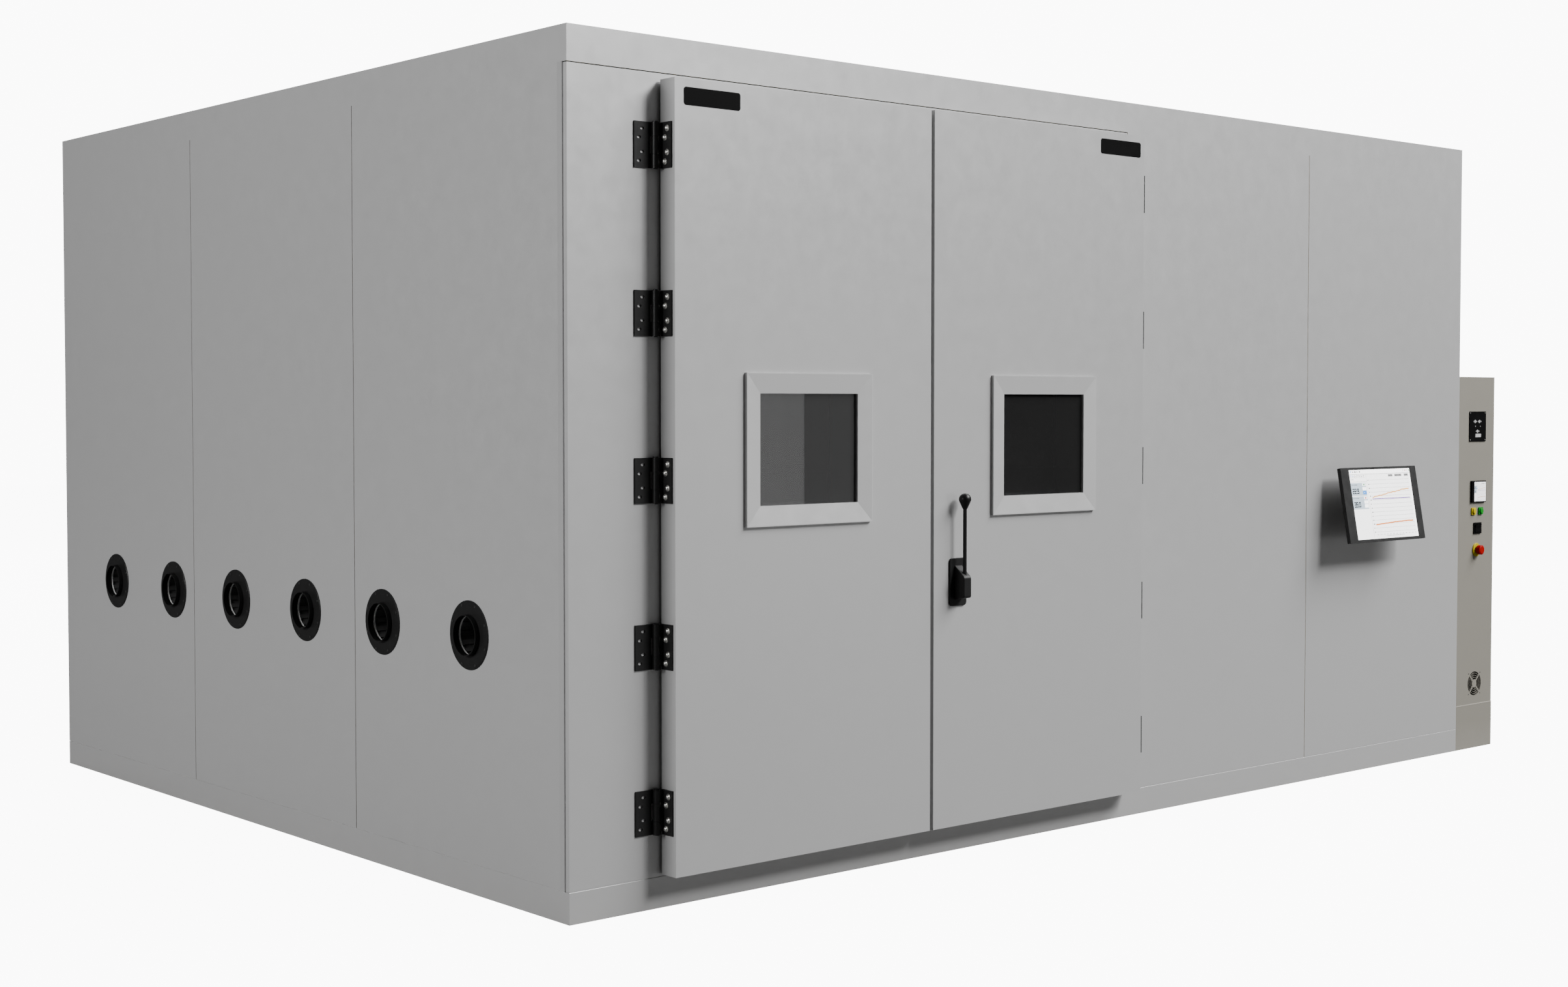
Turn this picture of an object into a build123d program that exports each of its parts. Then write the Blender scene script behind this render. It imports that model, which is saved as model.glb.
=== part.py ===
from build123d import *
import math
import os

# Walk-in environmental test chamber, in millimetres, +Z up.
# Sizes below are measured from the outer face of the left wall (x), from the front face (y,
# positive towards the back) and from the floor (z). Each piece is moved at the end so that the
# origin is the middle of the chamber's footprint, on the floor.

# Chamber box
width = 4577.0
depth = 3556.0
height = 2540.0
wall = 100.0
skin = 1.2
liner = 1.5
base_height = 94.0
base_sheet = 2.5
roof_bottom = 2435.0
base_chamfer = 2.0
seam = 3.0
seam_setback = 3.0
floor_sheet = 3.0
left_seams = [1203.0, 2383.0]
back_seams = [width / 4, width / 2, width * 3 / 4]
corner_wrap = 19.0
corner_line = 1.5
frame_panel_end = 2408.0
front_seam = 3495.0

# Doorway and its two doors
door_left = 323.6
door_split = 1367.3
door_gap = 14.6
door_bottom = 101.0
door_top = 2413.0
door_front = -75.5
door_back = -8.0
door_sheet = 1.5
opening_side = 66.4
opening_bottom = 150.0
opening_top = 2360.0
jamb_sheet = 4.0
jamb_flange = 40.0
jamb_lip = 3.0
plug_side = 15.0
plug_depth = 59.2
plug_sheet = 1.2
plug_free_edge = 6.0
gasket_width = 24.0
gasket_clear = 0.4
strip_clear = 1.1

# Windows
window_x = 839.6
window_z = 1339.7
frame_size = (509.5, 459.5)
view_size = (396.0, 336.0)
frame_rim = -86.0
frame_lip = -79.0
pane_front = -70.0
pane = 6.0
pane_lap = 11.0
tunnel_lap = 7.0

# Hinges
hinge_z = [2222.0 - 483.75 * k for k in range(5)]
hinge_height = 132.5
hinge_axis_x = 302.2
hinge_axis_y = -12.8
knuckle_r = 12.2
knuckle_mid = 52.0
hinge_pin_r = 5.0
pin_fit = 0.05
wall_leaf = (232.3, 4.0)
door_leaf = (5.0, -64.3, -15.0)
bolt_places = [(-46.5, 47.5), (-36.0, 21.5), (-46.5, -21.5), (-36.0, -47.5)]
slot_places = [(260.3, 47.0), (249.2, 21.0), (260.3, -20.0), (249.2, -46.0)]
slot_size = (14.0, 8.5)

# Latch
latch_x = 1481.3
latch_z = 899.1
plate_size = (76.6, 155.7, 6.0)
lever_width = 34.0
lever_front = -124.5
brow_radius = 14.0
lever_rod_r = 6.1
lever_rod_y = -110.5
knob_bottom = 1137.0
knob_top = 1188.0
knob_r = 20.0
spindle_r = 8.0
cam_back = 72.0
cam_front = 64.5
cam_reach = 175.0

# Cable ports in the left wall
port_first = 515.3
port_pitch = 509.4
port_count = 6
port_z = 782.6
port_flange_r = 105.0
port_flange = 4.0
port_bore_r = 60.0
port_sleeve_r = 62.5
port_reach = 20.0
port_tube_r = 66.5
port_rib_r = 61.5
port_groove_r = 64.0
port_ribs = 14
port_hole_r = 67.0

# Air plenum at the right end, behind a sheet partition
plenum_x = 3940.0
plenum_sheet = 2.0
coil_openings = [(300.0, 1623.0), (1687.0, 3050.0)]
coil_z = (620.0, 1750.0)
coil_depth = 150.0
supply_y = (300.0, 3050.0)
supply_z = (2040.0, 2340.0)
fan_y = [1000.0, 2350.0]
fan_z = 2190.0
fan_r = 135.0

# Operator screen on the front wall
screen_x = 3876.0
screen_z = 1077.3
screen_y = -96.0
screen_size = (520.0, 297.0, 15.0)
screen_tilt = 10.1
screen_pivot_back = 60.0
active_size = (421.0, 277.0)
active_shift = 4.5

# Control cabinet on the right side
cabinet_width = 277.0
cabinet_depth = 900.0
cabinet_top = 1588.0
plinth_top = 190.0
cabinet_sheet = 2.0
cabinet_mid = 4717.5
fan_grille_z = 276.5
grille_rings = [(46.0, 50.0), (37.0, 42.0), (28.0, 33.0), (19.0, 24.0)]
grille_rib = 7.0
buttons_z = 1016.0
yellow_x = 4691.7
green_x = 4747.0
button_r = 11.0
button_travel = 4.0
rocker_z = 943.0
rocker_y = -3.5
rocker_tip = 6.0
estop_z = 850.6
estop_travel = 5.0


def slab(x0, x1, y0, y1, z0, z1):
    """A box between two corners."""
    return Pos((x0 + x1) / 2, (y0 + y1) / 2, (z0 + z1) / 2) * Box(x1 - x0, y1 - y0, z1 - z0)


def along_x(radius, x0, x1, y, z):
    return Pos((x0 + x1) / 2, y, z) * Rot(0, 90, 0) * Cylinder(radius, x1 - x0)


def along_y(radius, x, y0, y1, z):
    return Pos(x, (y0 + y1) / 2, z) * Rot(90, 0, 0) * Cylinder(radius, y1 - y0)


def along_z(radius, x, y, z0, z1):
    return Pos(x, y, (z0 + z1) / 2) * Cylinder(radius, z1 - z0)


def group(shapes):
    """Separate solids that share one node."""
    return Compound(children=[solid for shape in shapes for solid in shape.solids()])


def mirror_door(shape):
    """The right door's copy of a left door's piece, about the line where the doors meet."""
    return mirror(shape, about=Plane((door_split, 0, 0), z_dir=(1, 0, 0)))


def port_ys():
    return [port_first + port_pitch * k for k in range(port_count)]


def cut_ports(shape, x0, x1):
    for y in port_ys():
        shape -= along_x(port_hole_r, x0, x1, y, port_z)
    return shape


def runs(start, end, seams, gap):
    """Stretches between seams, each seam a gap wide."""
    edges = [start] + [v for s in seams for v in (s - gap / 2, s + gap / 2)] + [end]
    return list(zip(edges[::2], edges[1::2]))


# Doorway lines that several pieces share
jamb_x0 = door_left + opening_side
jamb_x1 = 2 * door_split - jamb_x0
door_right = door_split - door_gap / 2


def base_pan():
    """Painted tray under the whole chamber; its chamfered rim shows as a light line."""
    tray = chamfer(
        slab(0, width, 0, depth, 0, base_height).faces().sort_by(Axis.Z)[-1].edges(), base_chamfer
    )
    pocket = slab(
        base_sheet, width - base_sheet, base_sheet, depth - base_sheet, base_sheet, base_height
    )
    return tray - pocket


def left_wall_skins():
    pieces = []
    for y0, y1 in runs(corner_wrap, depth - skin, left_seams, seam):
        pieces.append(cut_ports(slab(0, skin, y0, y1, base_height, roof_bottom), -1, skin + 1))
    return group(pieces)


def right_wall_skins():
    spans = runs(skin, depth - skin, left_seams, seam)
    return group([slab(width - skin, width, a, b, base_height, roof_bottom) for a, b in spans])


def back_wall_skins():
    spans = runs(0, width, back_seams, seam)
    return group([slab(a, b, depth - skin, depth, base_height, roof_bottom) for a, b in spans])


def front_wall_skins():
    """The doorway panel wraps round the left corner; two plain panels follow it."""
    panel = slab(0, frame_panel_end, 0, skin, base_height, roof_bottom - seam)
    panel += slab(0, skin, 0, corner_wrap - corner_line, base_height, roof_bottom - seam)
    panel -= slab(jamb_x0, jamb_x1, -1, skin + 1, opening_bottom, opening_top)
    first = slab(frame_panel_end + seam, front_seam - seam / 2, 0, skin, base_height, roof_bottom)
    last = slab(front_seam + seam / 2, width, 0, skin, base_height, roof_bottom)
    return group([panel, first, last])


def roof_skin():
    outer = slab(0, width, 0, depth, roof_bottom, height)
    return outer - slab(skin, width - skin, skin, depth - skin, roof_bottom - 1, height - skin)


def port_wall_blocks(x0, x1, y0, y1, z0, z1):
    """Foam blocks of one left wall panel, cut to an octagon round each port tube."""
    r = port_hole_r
    blocks = [slab(x0, x1, y0, y1, z0, port_z - r), slab(x0, x1, y0, y1, port_z + r, z1)]
    inside = [y for y in port_ys() if y0 < y < y1]
    corner = r * (2 - math.sqrt(2))
    for a, b in runs(y0, y1, inside, 2 * r):
        blocks.append(slab(x0, x1, a, b, port_z - r, port_z + r))
    for y in inside:
        for sy, sz in ((-1, -1), (-1, 1), (1, -1), (1, 1)):
            tip = (y + sy * r, port_z + sz * r)
            points = [tip, (tip[0] - sy * corner, tip[1]), (tip[0], tip[1] - sz * corner)]
            face = Plane.YZ.offset(x0) * make_face(Polyline(*points, close=True))
            blocks.append(extrude(face, x1 - x0, dir=(1, 0, 0)))
    return blocks


def insulation_cores():
    """Rigid foam slabs: floor, roof, and one for each wall panel."""
    inner, outer = wall - liner, skin
    low, high = base_height, roof_bottom
    cores = [
        slab(base_sheet, width - base_sheet, base_sheet, depth - base_sheet, base_sheet, low),
        slab(skin, width - skin, skin, depth - skin, roof_bottom, height - skin),
    ]
    for y0, y1 in runs(inner, depth - inner, left_seams, seam):
        cores += port_wall_blocks(outer, inner, y0, y1, low, high)
        cores.append(slab(width - inner, width - outer, y0, y1, low, high))
    for x0, x1 in runs(outer, width - outer, back_seams, seam):
        cores.append(slab(x0, x1, depth - inner, depth - outer, low, high))
    lintel = high - seam
    cores += [
        slab(outer, jamb_x0, outer, inner, low, lintel),
        slab(jamb_x1, frame_panel_end, outer, inner, low, lintel),
        slab(jamb_x0, jamb_x1, outer, inner, opening_top, lintel),
        slab(jamb_x0, jamb_x1, outer, inner, low, opening_bottom),
        slab(frame_panel_end + seam, front_seam - seam / 2, outer, inner, low, high),
        slab(front_seam + seam / 2, width - outer, outer, inner, low, high),
    ]
    return group(cores)


def seam_gaskets():
    """Dark strips that fill the panel joints, a little behind the outer faces."""
    low, high, out, inn = base_height, roof_bottom, seam_setback, wall - liner
    strips = []
    for y in left_seams:
        strips.append(slab(out, inn, y - seam / 2, y + seam / 2, low, high))
        strips.append(slab(width - inn, width - out, y - seam / 2, y + seam / 2, low, high))
    for x in back_seams:
        strips.append(slab(x - seam / 2, x + seam / 2, depth - inn, depth - out, low, high))
    strips.append(slab(front_seam - seam / 2, front_seam + seam / 2, out, inn, low, high))
    strips.append(slab(frame_panel_end, frame_panel_end + seam, out, inn, low, high))
    strips.append(slab(out, frame_panel_end, out, inn, high - seam, high))
    return group(strips)


def chamber_liner():
    """Welded stainless inner box with a thicker floor, the doorway and the port holes."""
    edge = wall - liner
    box = slab(edge, width - edge, edge, depth - edge, base_height, roof_bottom)
    box -= slab(
        wall, width - wall, wall, depth - wall, base_height + floor_sheet, roof_bottom - liner
    )
    box -= slab(jamb_x0, jamb_x1, edge - 1, wall + 1, opening_bottom, opening_top)
    return cut_ports(box, edge - 1, wall + 1)


def door_jamb():
    """Lining of the doorway, with a flat lip that the door gaskets press on."""
    x0, x1, z0, z1 = jamb_x0, jamb_x1, opening_bottom, opening_top
    lip = jamb_flange
    ring = slab(x0, x1, 0, wall, z0, z1)
    ring += slab(x0 - lip, x1 + lip, -jamb_lip, 0, z0 - lip * 0.8, z1 + lip * 0.9)
    t = jamb_sheet
    return ring - slab(x0 + t, x1 - t, -jamb_lip - 1, wall + 1, z0 + t, z1 - t)


def port_flanges():
    """Black flange of each port, with the short sleeve that stands out of it."""
    flanges = []
    for y in port_ys():
        body = along_x(port_flange_r, -port_flange, 0, y, port_z)
        body = chamfer(body.faces().sort_by(Axis.X)[0].edges(), 1.0)
        body += along_x(port_sleeve_r, -port_reach, 0, y, port_z)
        flanges.append(body - along_x(port_bore_r, -port_reach - 1, 1, y, port_z))
    return group(flanges)


def port_tubes():
    """Black fluted tube of each port through the wall, rebated for the bright ring."""
    tube = along_x(port_tube_r, 0, wall + 2, 0, 0) - along_x(port_tube_r - 2.5, -1, 7, 0, 0)
    tube -= along_x(port_rib_r, 6, wall + 3, 0, 0)
    groove = slab(7, wall + 3, -6, 6, 0, port_groove_r)
    for k in range(port_ribs):
        tube -= Rot(360 * k / port_ribs, 0, 0) * groove
    return group([Pos(0, y, port_z) * tube for y in port_ys()])


def port_rings():
    """Bright ring in each port mouth, and the ring that clamps the tube from inside."""
    rings = []
    for y in port_ys():
        mouth = along_x(port_tube_r - 2.5, 0, 7, y, port_z) - along_x(61.0, -1, 8, y, port_z)
        clamp = along_x(88.0, wall, wall + 3, y, port_z)
        rings += [mouth, clamp - along_x(port_hole_r, wall - 1, wall + 4, y, port_z)]
    return group(rings)


def hinge_barrel(radius, z0, z1):
    return along_z(radius, hinge_axis_x, hinge_axis_y, z0, z1)


def hinge_wall_leaf(z):
    """Flat leaf on the wall with its four slots, and the top and bottom knuckles."""
    x0, thick = wall_leaf
    half, mid = hinge_height / 2, knuckle_mid / 2
    leaf = slab(x0, hinge_axis_x, -thick, 0, z - half, z + half)
    leaf -= slab(hinge_axis_x - knuckle_r - 1.5, hinge_axis_x + 1, -thick - 1, 1, z - mid, z + mid)
    leaf += hinge_barrel(knuckle_r, z + mid, z + half) + hinge_barrel(knuckle_r, z - half, z - mid)
    slot = extrude(SlotOverall(*slot_size), 2 * thick, both=True)
    for x, dz in slot_places:
        leaf -= Pos(x, -thick / 2, z + dz) * Rot(90, 0, 0) * slot
    return leaf - hinge_barrel(hinge_pin_r + pin_fit, z - half - 1, z + half + 1)


def hinge_door_leaf(z):
    """Leaf on the door's edge, joined to the middle knuckle by a flat web."""
    thick, y0, y1 = door_leaf
    half, mid = hinge_height / 2, knuckle_mid / 2 - 0.5
    leaf = slab(door_left - thick, door_left, y0, y1, z - half, z + half)
    leaf += slab(hinge_axis_x, door_left - thick / 2, -21.0, y1 + 7, z - mid, z + mid)
    leaf += hinge_barrel(knuckle_r, z - mid, z + mid)
    return leaf - hinge_barrel(hinge_pin_r + pin_fit, z - half, z + half)


def hinge_pin(z):
    half = hinge_height / 2
    return hinge_barrel(hinge_pin_r, z - half - 2, z + half) + hinge_barrel(8.0, z + half, z + half + 3)


def hinge_bolts():
    """Hexagon heads on the door leaves, four to a leaf."""
    heads = []
    face = door_left - door_leaf[0]
    for z in hinge_z:
        for y, dz in bolt_places:
            head = extrude(RegularPolygon(6.2, 6), 5.0)
            heads.append(Pos(face - 5.0, y, z + dz) * Rot(0, 90, 0) * head)
    return group(heads)


def door_skin():
    """Painted pan: front sheet and four edges, open behind, cut out for the window."""
    x0, x1, t = door_left, door_right, door_sheet
    pan = slab(x0, x1, door_front, door_back, door_bottom, door_top)
    pan -= slab(x0 + t, x1 - t, door_front + t, door_back + 1, door_bottom + t, door_top - t)
    return pan - window_box(pane_lap, door_front - 1, door_front + t + 1)


def window_box(lap, y0, y1):
    w, h = view_size[0] / 2 + lap, view_size[1] / 2 + lap
    return slab(window_x - w, window_x + w, y0, y1, window_z - h, window_z + h)


def plug_box(inset, y0, y1):
    """The stepped inner part of a door that enters the doorway."""
    x0, x1 = jamb_x0 + plug_side + inset, door_right - plug_free_edge - inset
    z0, z1 = opening_bottom + plug_side + inset, opening_top - plug_side - inset
    return slab(x0, x1, y0, y1, z0, z1)


def door_core():
    t, s = door_sheet, plug_sheet
    core = slab(
        door_left + t, door_right - t, door_front + t, door_back - s, door_bottom + t, door_top - t
    )
    core += plug_box(s, door_back - s, plug_depth - s)
    core -= window_box(pane_lap, door_front, pane_front + pane)
    return core - window_box(tunnel_lap, pane_front + pane - 1, plug_depth + 1)


def door_liner():
    """Stainless inner pan with its step, the window tunnel and a raised rim round the glass."""
    t, s = door_sheet, plug_sheet
    pan = slab(
        door_left + t, door_right - t, door_back - s, door_back, door_bottom + t, door_top - t
    )
    pan += plug_box(0, door_back - s, plug_depth)
    pan += window_box(36.0, plug_depth, plug_depth + 3.0)
    pan -= plug_box(s, door_back - s - 1, plug_depth - s)
    pan += window_box(tunnel_lap, pane_front + pane, plug_depth)
    pan -= window_box(tunnel_lap - 1.5, pane_front + pane - 1, plug_depth)
    return pan - window_box(0, 0, plug_depth + 4)


def window_frame():
    """Picture frame on the door: a raised rim that slopes in to the glass on all four sides."""
    w, h = frame_size[0] / 2, frame_size[1] / 2
    vw, vh = view_size[0] / 2, view_size[1] / 2
    frame = slab(window_x - w, window_x + w, frame_rim, door_front, window_z - h, window_z + h)
    front = Plane((window_x, frame_rim, window_z), x_dir=(1, 0, 0), z_dir=(0, -1, 0))
    lip = Plane((window_x, frame_lip, window_z), x_dir=(1, 0, 0), z_dir=(0, -1, 0))
    rim = 2.5
    mouth = Sketch() + front * Rectangle(2 * (w - rim), 2 * (h - rim))
    throat = Sketch() + lip * Rectangle(2 * vw, 2 * vh)
    frame -= loft([mouth.face(), throat.face()])
    frame += window_box(pane_lap - 0.5, door_front, pane_front)
    return frame - window_box(0, frame_rim - 1, pane_front + 1)


def window_glass():
    """Outer pane behind the frame's lip, and inner pane at the end of the tunnel."""
    outer = window_box(pane_lap - 1.0, pane_front, pane_front + pane)
    inner = window_box(tunnel_lap - 2.0, plug_depth - pane, plug_depth)
    return group([outer, inner])


def door_gasket():
    """Soft seal on the hinge side, top and bottom of a door's back face."""
    y0, y1 = door_back, -jamb_lip - gasket_clear
    x0, x1 = jamb_x0 - 32.0, door_right - 4.0
    z0, z1 = opening_bottom - 28.0, opening_top + 30.0
    ring = slab(x0, x1, y0, y1, z0, z1)
    w = gasket_width
    return ring - slab(x0 + w, x1 + 1, y0 - 1, y1 + 1, z0 + w, z1 - w)


def meeting_strip():
    """Bulb seal on the left door's free edge, which fills the gap between the doors."""
    x1 = door_split + door_gap / 2 - strip_clear
    strip = slab(door_right, x1, -46.0, -26.0, door_bottom + 2, door_top - 2)
    return fillet(strip.edges().filter_by(Axis.Z).group_by(Axis.X)[-1], 5.0)


def latch_keeper():
    """Wear plate inside the left door, which the cam bar slides behind."""
    plate = slab(1296.0, 1348.0, plug_depth, cam_front - 0.8, latch_z - 45, latch_z + 45)
    return chamfer(plate.faces().sort_by(Axis.Y)[-1].edges(), 1.5)


def handle_plate():
    w, h, thick = plate_size
    plate = extrude(RectangleRounded(w, h, 12.0), thick)
    plate = chamfer(plate.faces().sort_by(Axis.Z)[-1].edges(), 1.0)
    plate = Pos(latch_x, door_front, latch_z) * Rot(90, 0, 0) * plate
    return plate - along_y(spindle_r + pin_fit, latch_x, door_front - thick - 1, door_front + 1, latch_z)


def latch_lever():
    """Wedge-shaped boss that turns on the plate, with the long rod standing up from its slope."""
    back = door_front - plate_size[2] - 0.5
    profile = Plane((latch_x - lever_width / 2, 0, 0), x_dir=(0, 1, 0), z_dir=(1, 0, 0))
    points = [(back, 842.0), (back, 952.0), (lever_front, 916.7), (lever_front, 850.0)]
    wedge = extrude(profile * make_face(Polyline(*points, close=True)), lever_width)
    front = wedge.faces().sort_by(Axis.Y)[0].edges().filter_by(Axis.X)
    wedge = fillet(front.sort_by(Axis.Z)[-1], brow_radius)
    wedge = fillet(wedge.edges().filter_by(Axis.X).group_by(Axis.Y)[0].sort_by(Axis.Z)[0], 7.0)
    wedge = chamfer(wedge.edges().filter_by(GeomType.LINE).filter_by(Axis.Z), 2.0)
    rod = along_z(lever_rod_r, latch_x, lever_rod_y, latch_z, knob_bottom + 14.0)
    return wedge + rod


def latch_knob():
    """Teardrop knob screwed onto the rod."""
    centre = knob_top - knob_r
    neck = (7.5, knob_bottom)
    reach = math.asin(knob_r / (centre - knob_bottom + 42.0))
    tangent = (knob_r * math.cos(reach), centre - knob_r * math.sin(reach))
    outline = Line((0, knob_bottom), neck) + Line(neck, tangent)
    middle = (knob_r * math.cos(0.75), centre + knob_r * math.sin(0.75))
    outline += ThreePointArc(tangent, middle, (0, knob_top))
    outline += Line((0, knob_top), (0, knob_bottom))
    turned = revolve(Plane.XZ * make_face(outline), Axis.Z)
    turned = Pos(latch_x, lever_rod_y, 0) * turned
    return turned - along_z(lever_rod_r, latch_x, lever_rod_y, knob_bottom - 1, knob_bottom + 14.0)


def latch_spindle():
    """Shaft through the right door, its cam bar behind the doors, and the inside release grip."""
    back = door_front - plate_size[2] - 0.5
    shaft = along_y(spindle_r, latch_x, back, cam_back, latch_z)
    bar = Rectangle(26.0, cam_reach) + Pos(0, -cam_reach / 2) * Circle(13.0)
    bar = extrude(Pos(0, -cam_reach / 2 + 13.0) * bar, cam_back - cam_front)
    bar = Pos(latch_x, cam_back, latch_z) * Rot(90, 0, 0) * bar
    boss = along_y(20.0, latch_x, cam_front, cam_back + 8.0, latch_z)
    arm = slab(latch_x - 9, latch_x + 9, cam_back, cam_back + 7.0, latch_z, latch_z + 95.0)
    grip = along_y(11.0, latch_x, cam_back, cam_back + 48.0, latch_z + 95.0)
    grip = fillet(grip.faces().sort_by(Axis.Y)[-1].edges(), 4.0)
    return shaft + bar + boss + arm + grip


def door_spindle_hole(shape):
    """Clearance for the latch shaft, right door only."""
    return shape - along_y(spindle_r + 1.5, latch_x, door_front - 1, plug_depth + 1, latch_z)


def plenum_wall():
    """Sheet partition with two return openings at the coil and a supply opening above."""
    x0, x1 = plenum_x, plenum_x + plenum_sheet
    sheet = slab(x0, x1, wall, depth - wall, base_height + floor_sheet, roof_bottom - liner)
    for y0, y1 in coil_openings:
        sheet -= slab(x0 - 1, x1 + 1, y0, y1, *coil_z)
    return sheet - slab(x0 - 1, x1 + 1, *supply_y, *supply_z)


def supply_louvres():
    """Frame with tilted blades that throw the air along the ceiling."""
    x0, x1 = plenum_x - 26.0, plenum_x
    y0, y1 = supply_y[0] - 20, supply_y[1] + 20
    z0, z1 = supply_z[0] - 20, supply_z[1] + 20
    frame = slab(x0, x1, y0, y1, z0, z1)
    frame -= slab(x0 - 1, x1 + 1, y0 + 20, y1 - 20, z0 + 20, z1 - 20)
    for y in (supply_y[0] + (supply_y[1] - supply_y[0]) / 3 * k for k in (1, 2)):
        frame += slab(x0, x1, y - 4, y + 4, z0 + 10, z1 - 10)
    blades = 6
    pitch = (supply_z[1] - supply_z[0]) / blades
    for k in range(blades):
        place = Pos((x0 + x1) / 2, 0, supply_z[0] + pitch * (k + 0.5)) * Rot(0, 30, 0)
        blade = Pos(0, (y0 + y1) / 2, 0) * Box(28.0, y1 - y0 - 30, 2.0)
        frame += place * blade
    return frame & slab(x0, x1, y0, y1, z0, z1)


def evaporator_coil():
    """Finned block between two tube sheets, with the return bends of its tubes at one end."""
    x0 = plenum_x + 20.0
    x1 = x0 + coil_depth
    y0, y1 = coil_openings[0][0] - 10, coil_openings[-1][1] + 10
    z0, z1 = coil_z[0] - 10, coil_z[1] + 10
    block = slab(x0 + 4, x1 - 4, y0, y1, z0 + 6, z1 - 6)
    for y in (y0, y1):
        block += slab(x0, x1, y - 2, y + 2, z0, z1)
    for k in range(6):
        z = z0 + 120 + 180.0 * k
        for end in (z, z + 60):
            block += along_y(8.0, x0 + 75, y1, y1 + 32, end)
        block += along_z(9.0, x0 + 75, y1 + 32, z - 10, z + 70)
    return block + slab(x0 + 20, x1 - 20, y0, y1, base_height + floor_sheet, z0 + 6)


def heater_elements():
    """Three hairpin rods in front of the fans."""
    rods = []
    x = plenum_x + 95.0
    for k in range(3):
        z = 1800.0 + 62.0 * k
        low = along_y(5.5, x, 420.0, 2930.0, z)
        high = along_y(5.5, x, 420.0, 2930.0, z + 30)
        rods.append(low + high + along_z(6.5, x, 2926.0, z - 8, z + 38))
    foot = slab(x - 12, x + 12, 400.0, 420.0, coil_z[1] + 4, 1975.0)
    return group(rods + [foot])


def fan_shroud():
    """Plate behind the louvres with a ring for each circulation fan and a beam for the motors."""
    x0 = plenum_x + 40.0
    plate = slab(x0, x0 + 2, supply_y[0] - 60, supply_y[1] + 60, 1985.0, roof_bottom - liner)
    for y in fan_y:
        plate += along_x(fan_r + 9, x0 - 24, x0 + 2, y, fan_z)
        plate -= along_x(fan_r + 6, x0 - 30, x0 + 10, y, fan_z)
        plate += slab(x0, x0 + 120, y - 12, y + 12, 1990.0, 2010.0)
        plate += slab(x0 + 100, x0 + 120, y - 12, y + 12, 1990.0, fan_z - 60)
    return plate


def fan_motors():
    motors = []
    x0 = plenum_x + 70.0
    for y in fan_y:
        motor = along_x(60.0, x0, x0 + 150.0, y, fan_z)
        motor = chamfer(motor.faces().sort_by(Axis.X)[-1].edges(), 8.0)
        motors.append(motor - along_x(10.0 + 0.5, x0 - 1, x0 + 40, y, fan_z))
    return group(motors)


def bladed_wheel(tip_r, hub_r, hub_length, blades, chord, thick, pitch_angle):
    """A hub along X with flat blades set at an angle."""
    wheel = Rot(0, 90, 0) * Cylinder(hub_r, hub_length)
    blade = Rot(0, 0, pitch_angle) * Box(thick, chord, tip_r)
    blade = Pos(0, 0, tip_r / 2) * blade
    for k in range(blades):
        wheel += Rot(360 / blades * k, 0, 0) * blade
    return wheel & Rot(0, 90, 0) * Cylinder(tip_r, hub_length * 4)


def blower_fan(y):
    x0 = plenum_x + 40.0
    wheel = bladed_wheel(fan_r, 42.0, 36.0, 6, 90.0, 3.0, 32.0)
    return Pos(x0 - 2, y, fan_z) * wheel + along_x(10.0, x0, plenum_x + 105.0, y, fan_z)


def chamber_light():
    """Bulkhead lamp under the ceiling, just inside the doors."""
    z1 = roof_bottom - liner
    x, y = door_split, 420.0
    base = slab(x - 170, x + 170, y - 70, y + 70, z1 - 25, z1)
    lens = slab(x - 155, x + 155, y - 56, y + 56, z1 - 85, z1 - 25)
    edges = lens.edges().filter_by(Axis.Z) + lens.faces().sort_by(Axis.Z)[0].edges()
    return base + fillet(edges, 24.0)


def screen_bracket():
    """Wall plate with two ears and the pin that the screen tilts on."""
    py, pz = screen_pivot()
    bracket = slab(screen_x - 70, screen_x + 70, -5.0, 0, pz - 60, pz + 60)
    bracket = fillet(bracket.edges().filter_by(Axis.Y), 8.0)
    for side in (-1, 1):
        x = screen_x + side * 48.0
        ear = slab(x - 3, x + 3, py, -4.0, pz - 18, pz + 18) + along_x(18.0, x - 3, x + 3, py, pz)
        bracket += ear
    return bracket + along_x(6.0, screen_x - 51, screen_x + 51, py, pz)


def screen_pivot():
    a = math.radians(screen_tilt)
    return screen_y + screen_pivot_back * math.cos(a), screen_z - screen_pivot_back * math.sin(a)


def on_screen(shape):
    """From the screen's own axes (x right, y up, z towards the viewer) to its place."""
    return Pos(screen_x, screen_y, screen_z) * Rot(90 - screen_tilt, 0, 0) * shape


def screen_housing():
    w, h, t = screen_size
    case = Pos(0, 0, -t / 2) * Box(w, h, t)
    case = fillet(case.edges().filter_by(Axis.Z), 3.0)
    case -= Pos(active_shift, 1.0, -1.0) * Box(active_size[0], active_size[1], 2.0)
    rear = Pos(0, -10, -t - 9.0) * Box(300.0, 190.0, 18.0)
    case += chamfer(rear.faces().sort_by(Axis.Z)[0].edges(), 8.0)
    lug = Pos(0, 0, -screen_pivot_back) * (Rot(0, 90, 0) * Cylinder(15.0, 60.0))
    lug += Pos(0, 0, -(t + 17.0 + screen_pivot_back) / 2) * Box(60.0, 30.0, screen_pivot_back - t - 17.0)
    case += lug
    bore = Rot(0, 90, 0) * Cylinder(6.0 + pin_fit, 80.0)
    return on_screen(case - Pos(0, 0, -screen_pivot_back) * bore)


def screen_panel():
    w, h = active_size
    return on_screen(Pos(active_shift, 1.0, -1.2) * Box(w - 0.6, h - 0.6, 1.6))


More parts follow.
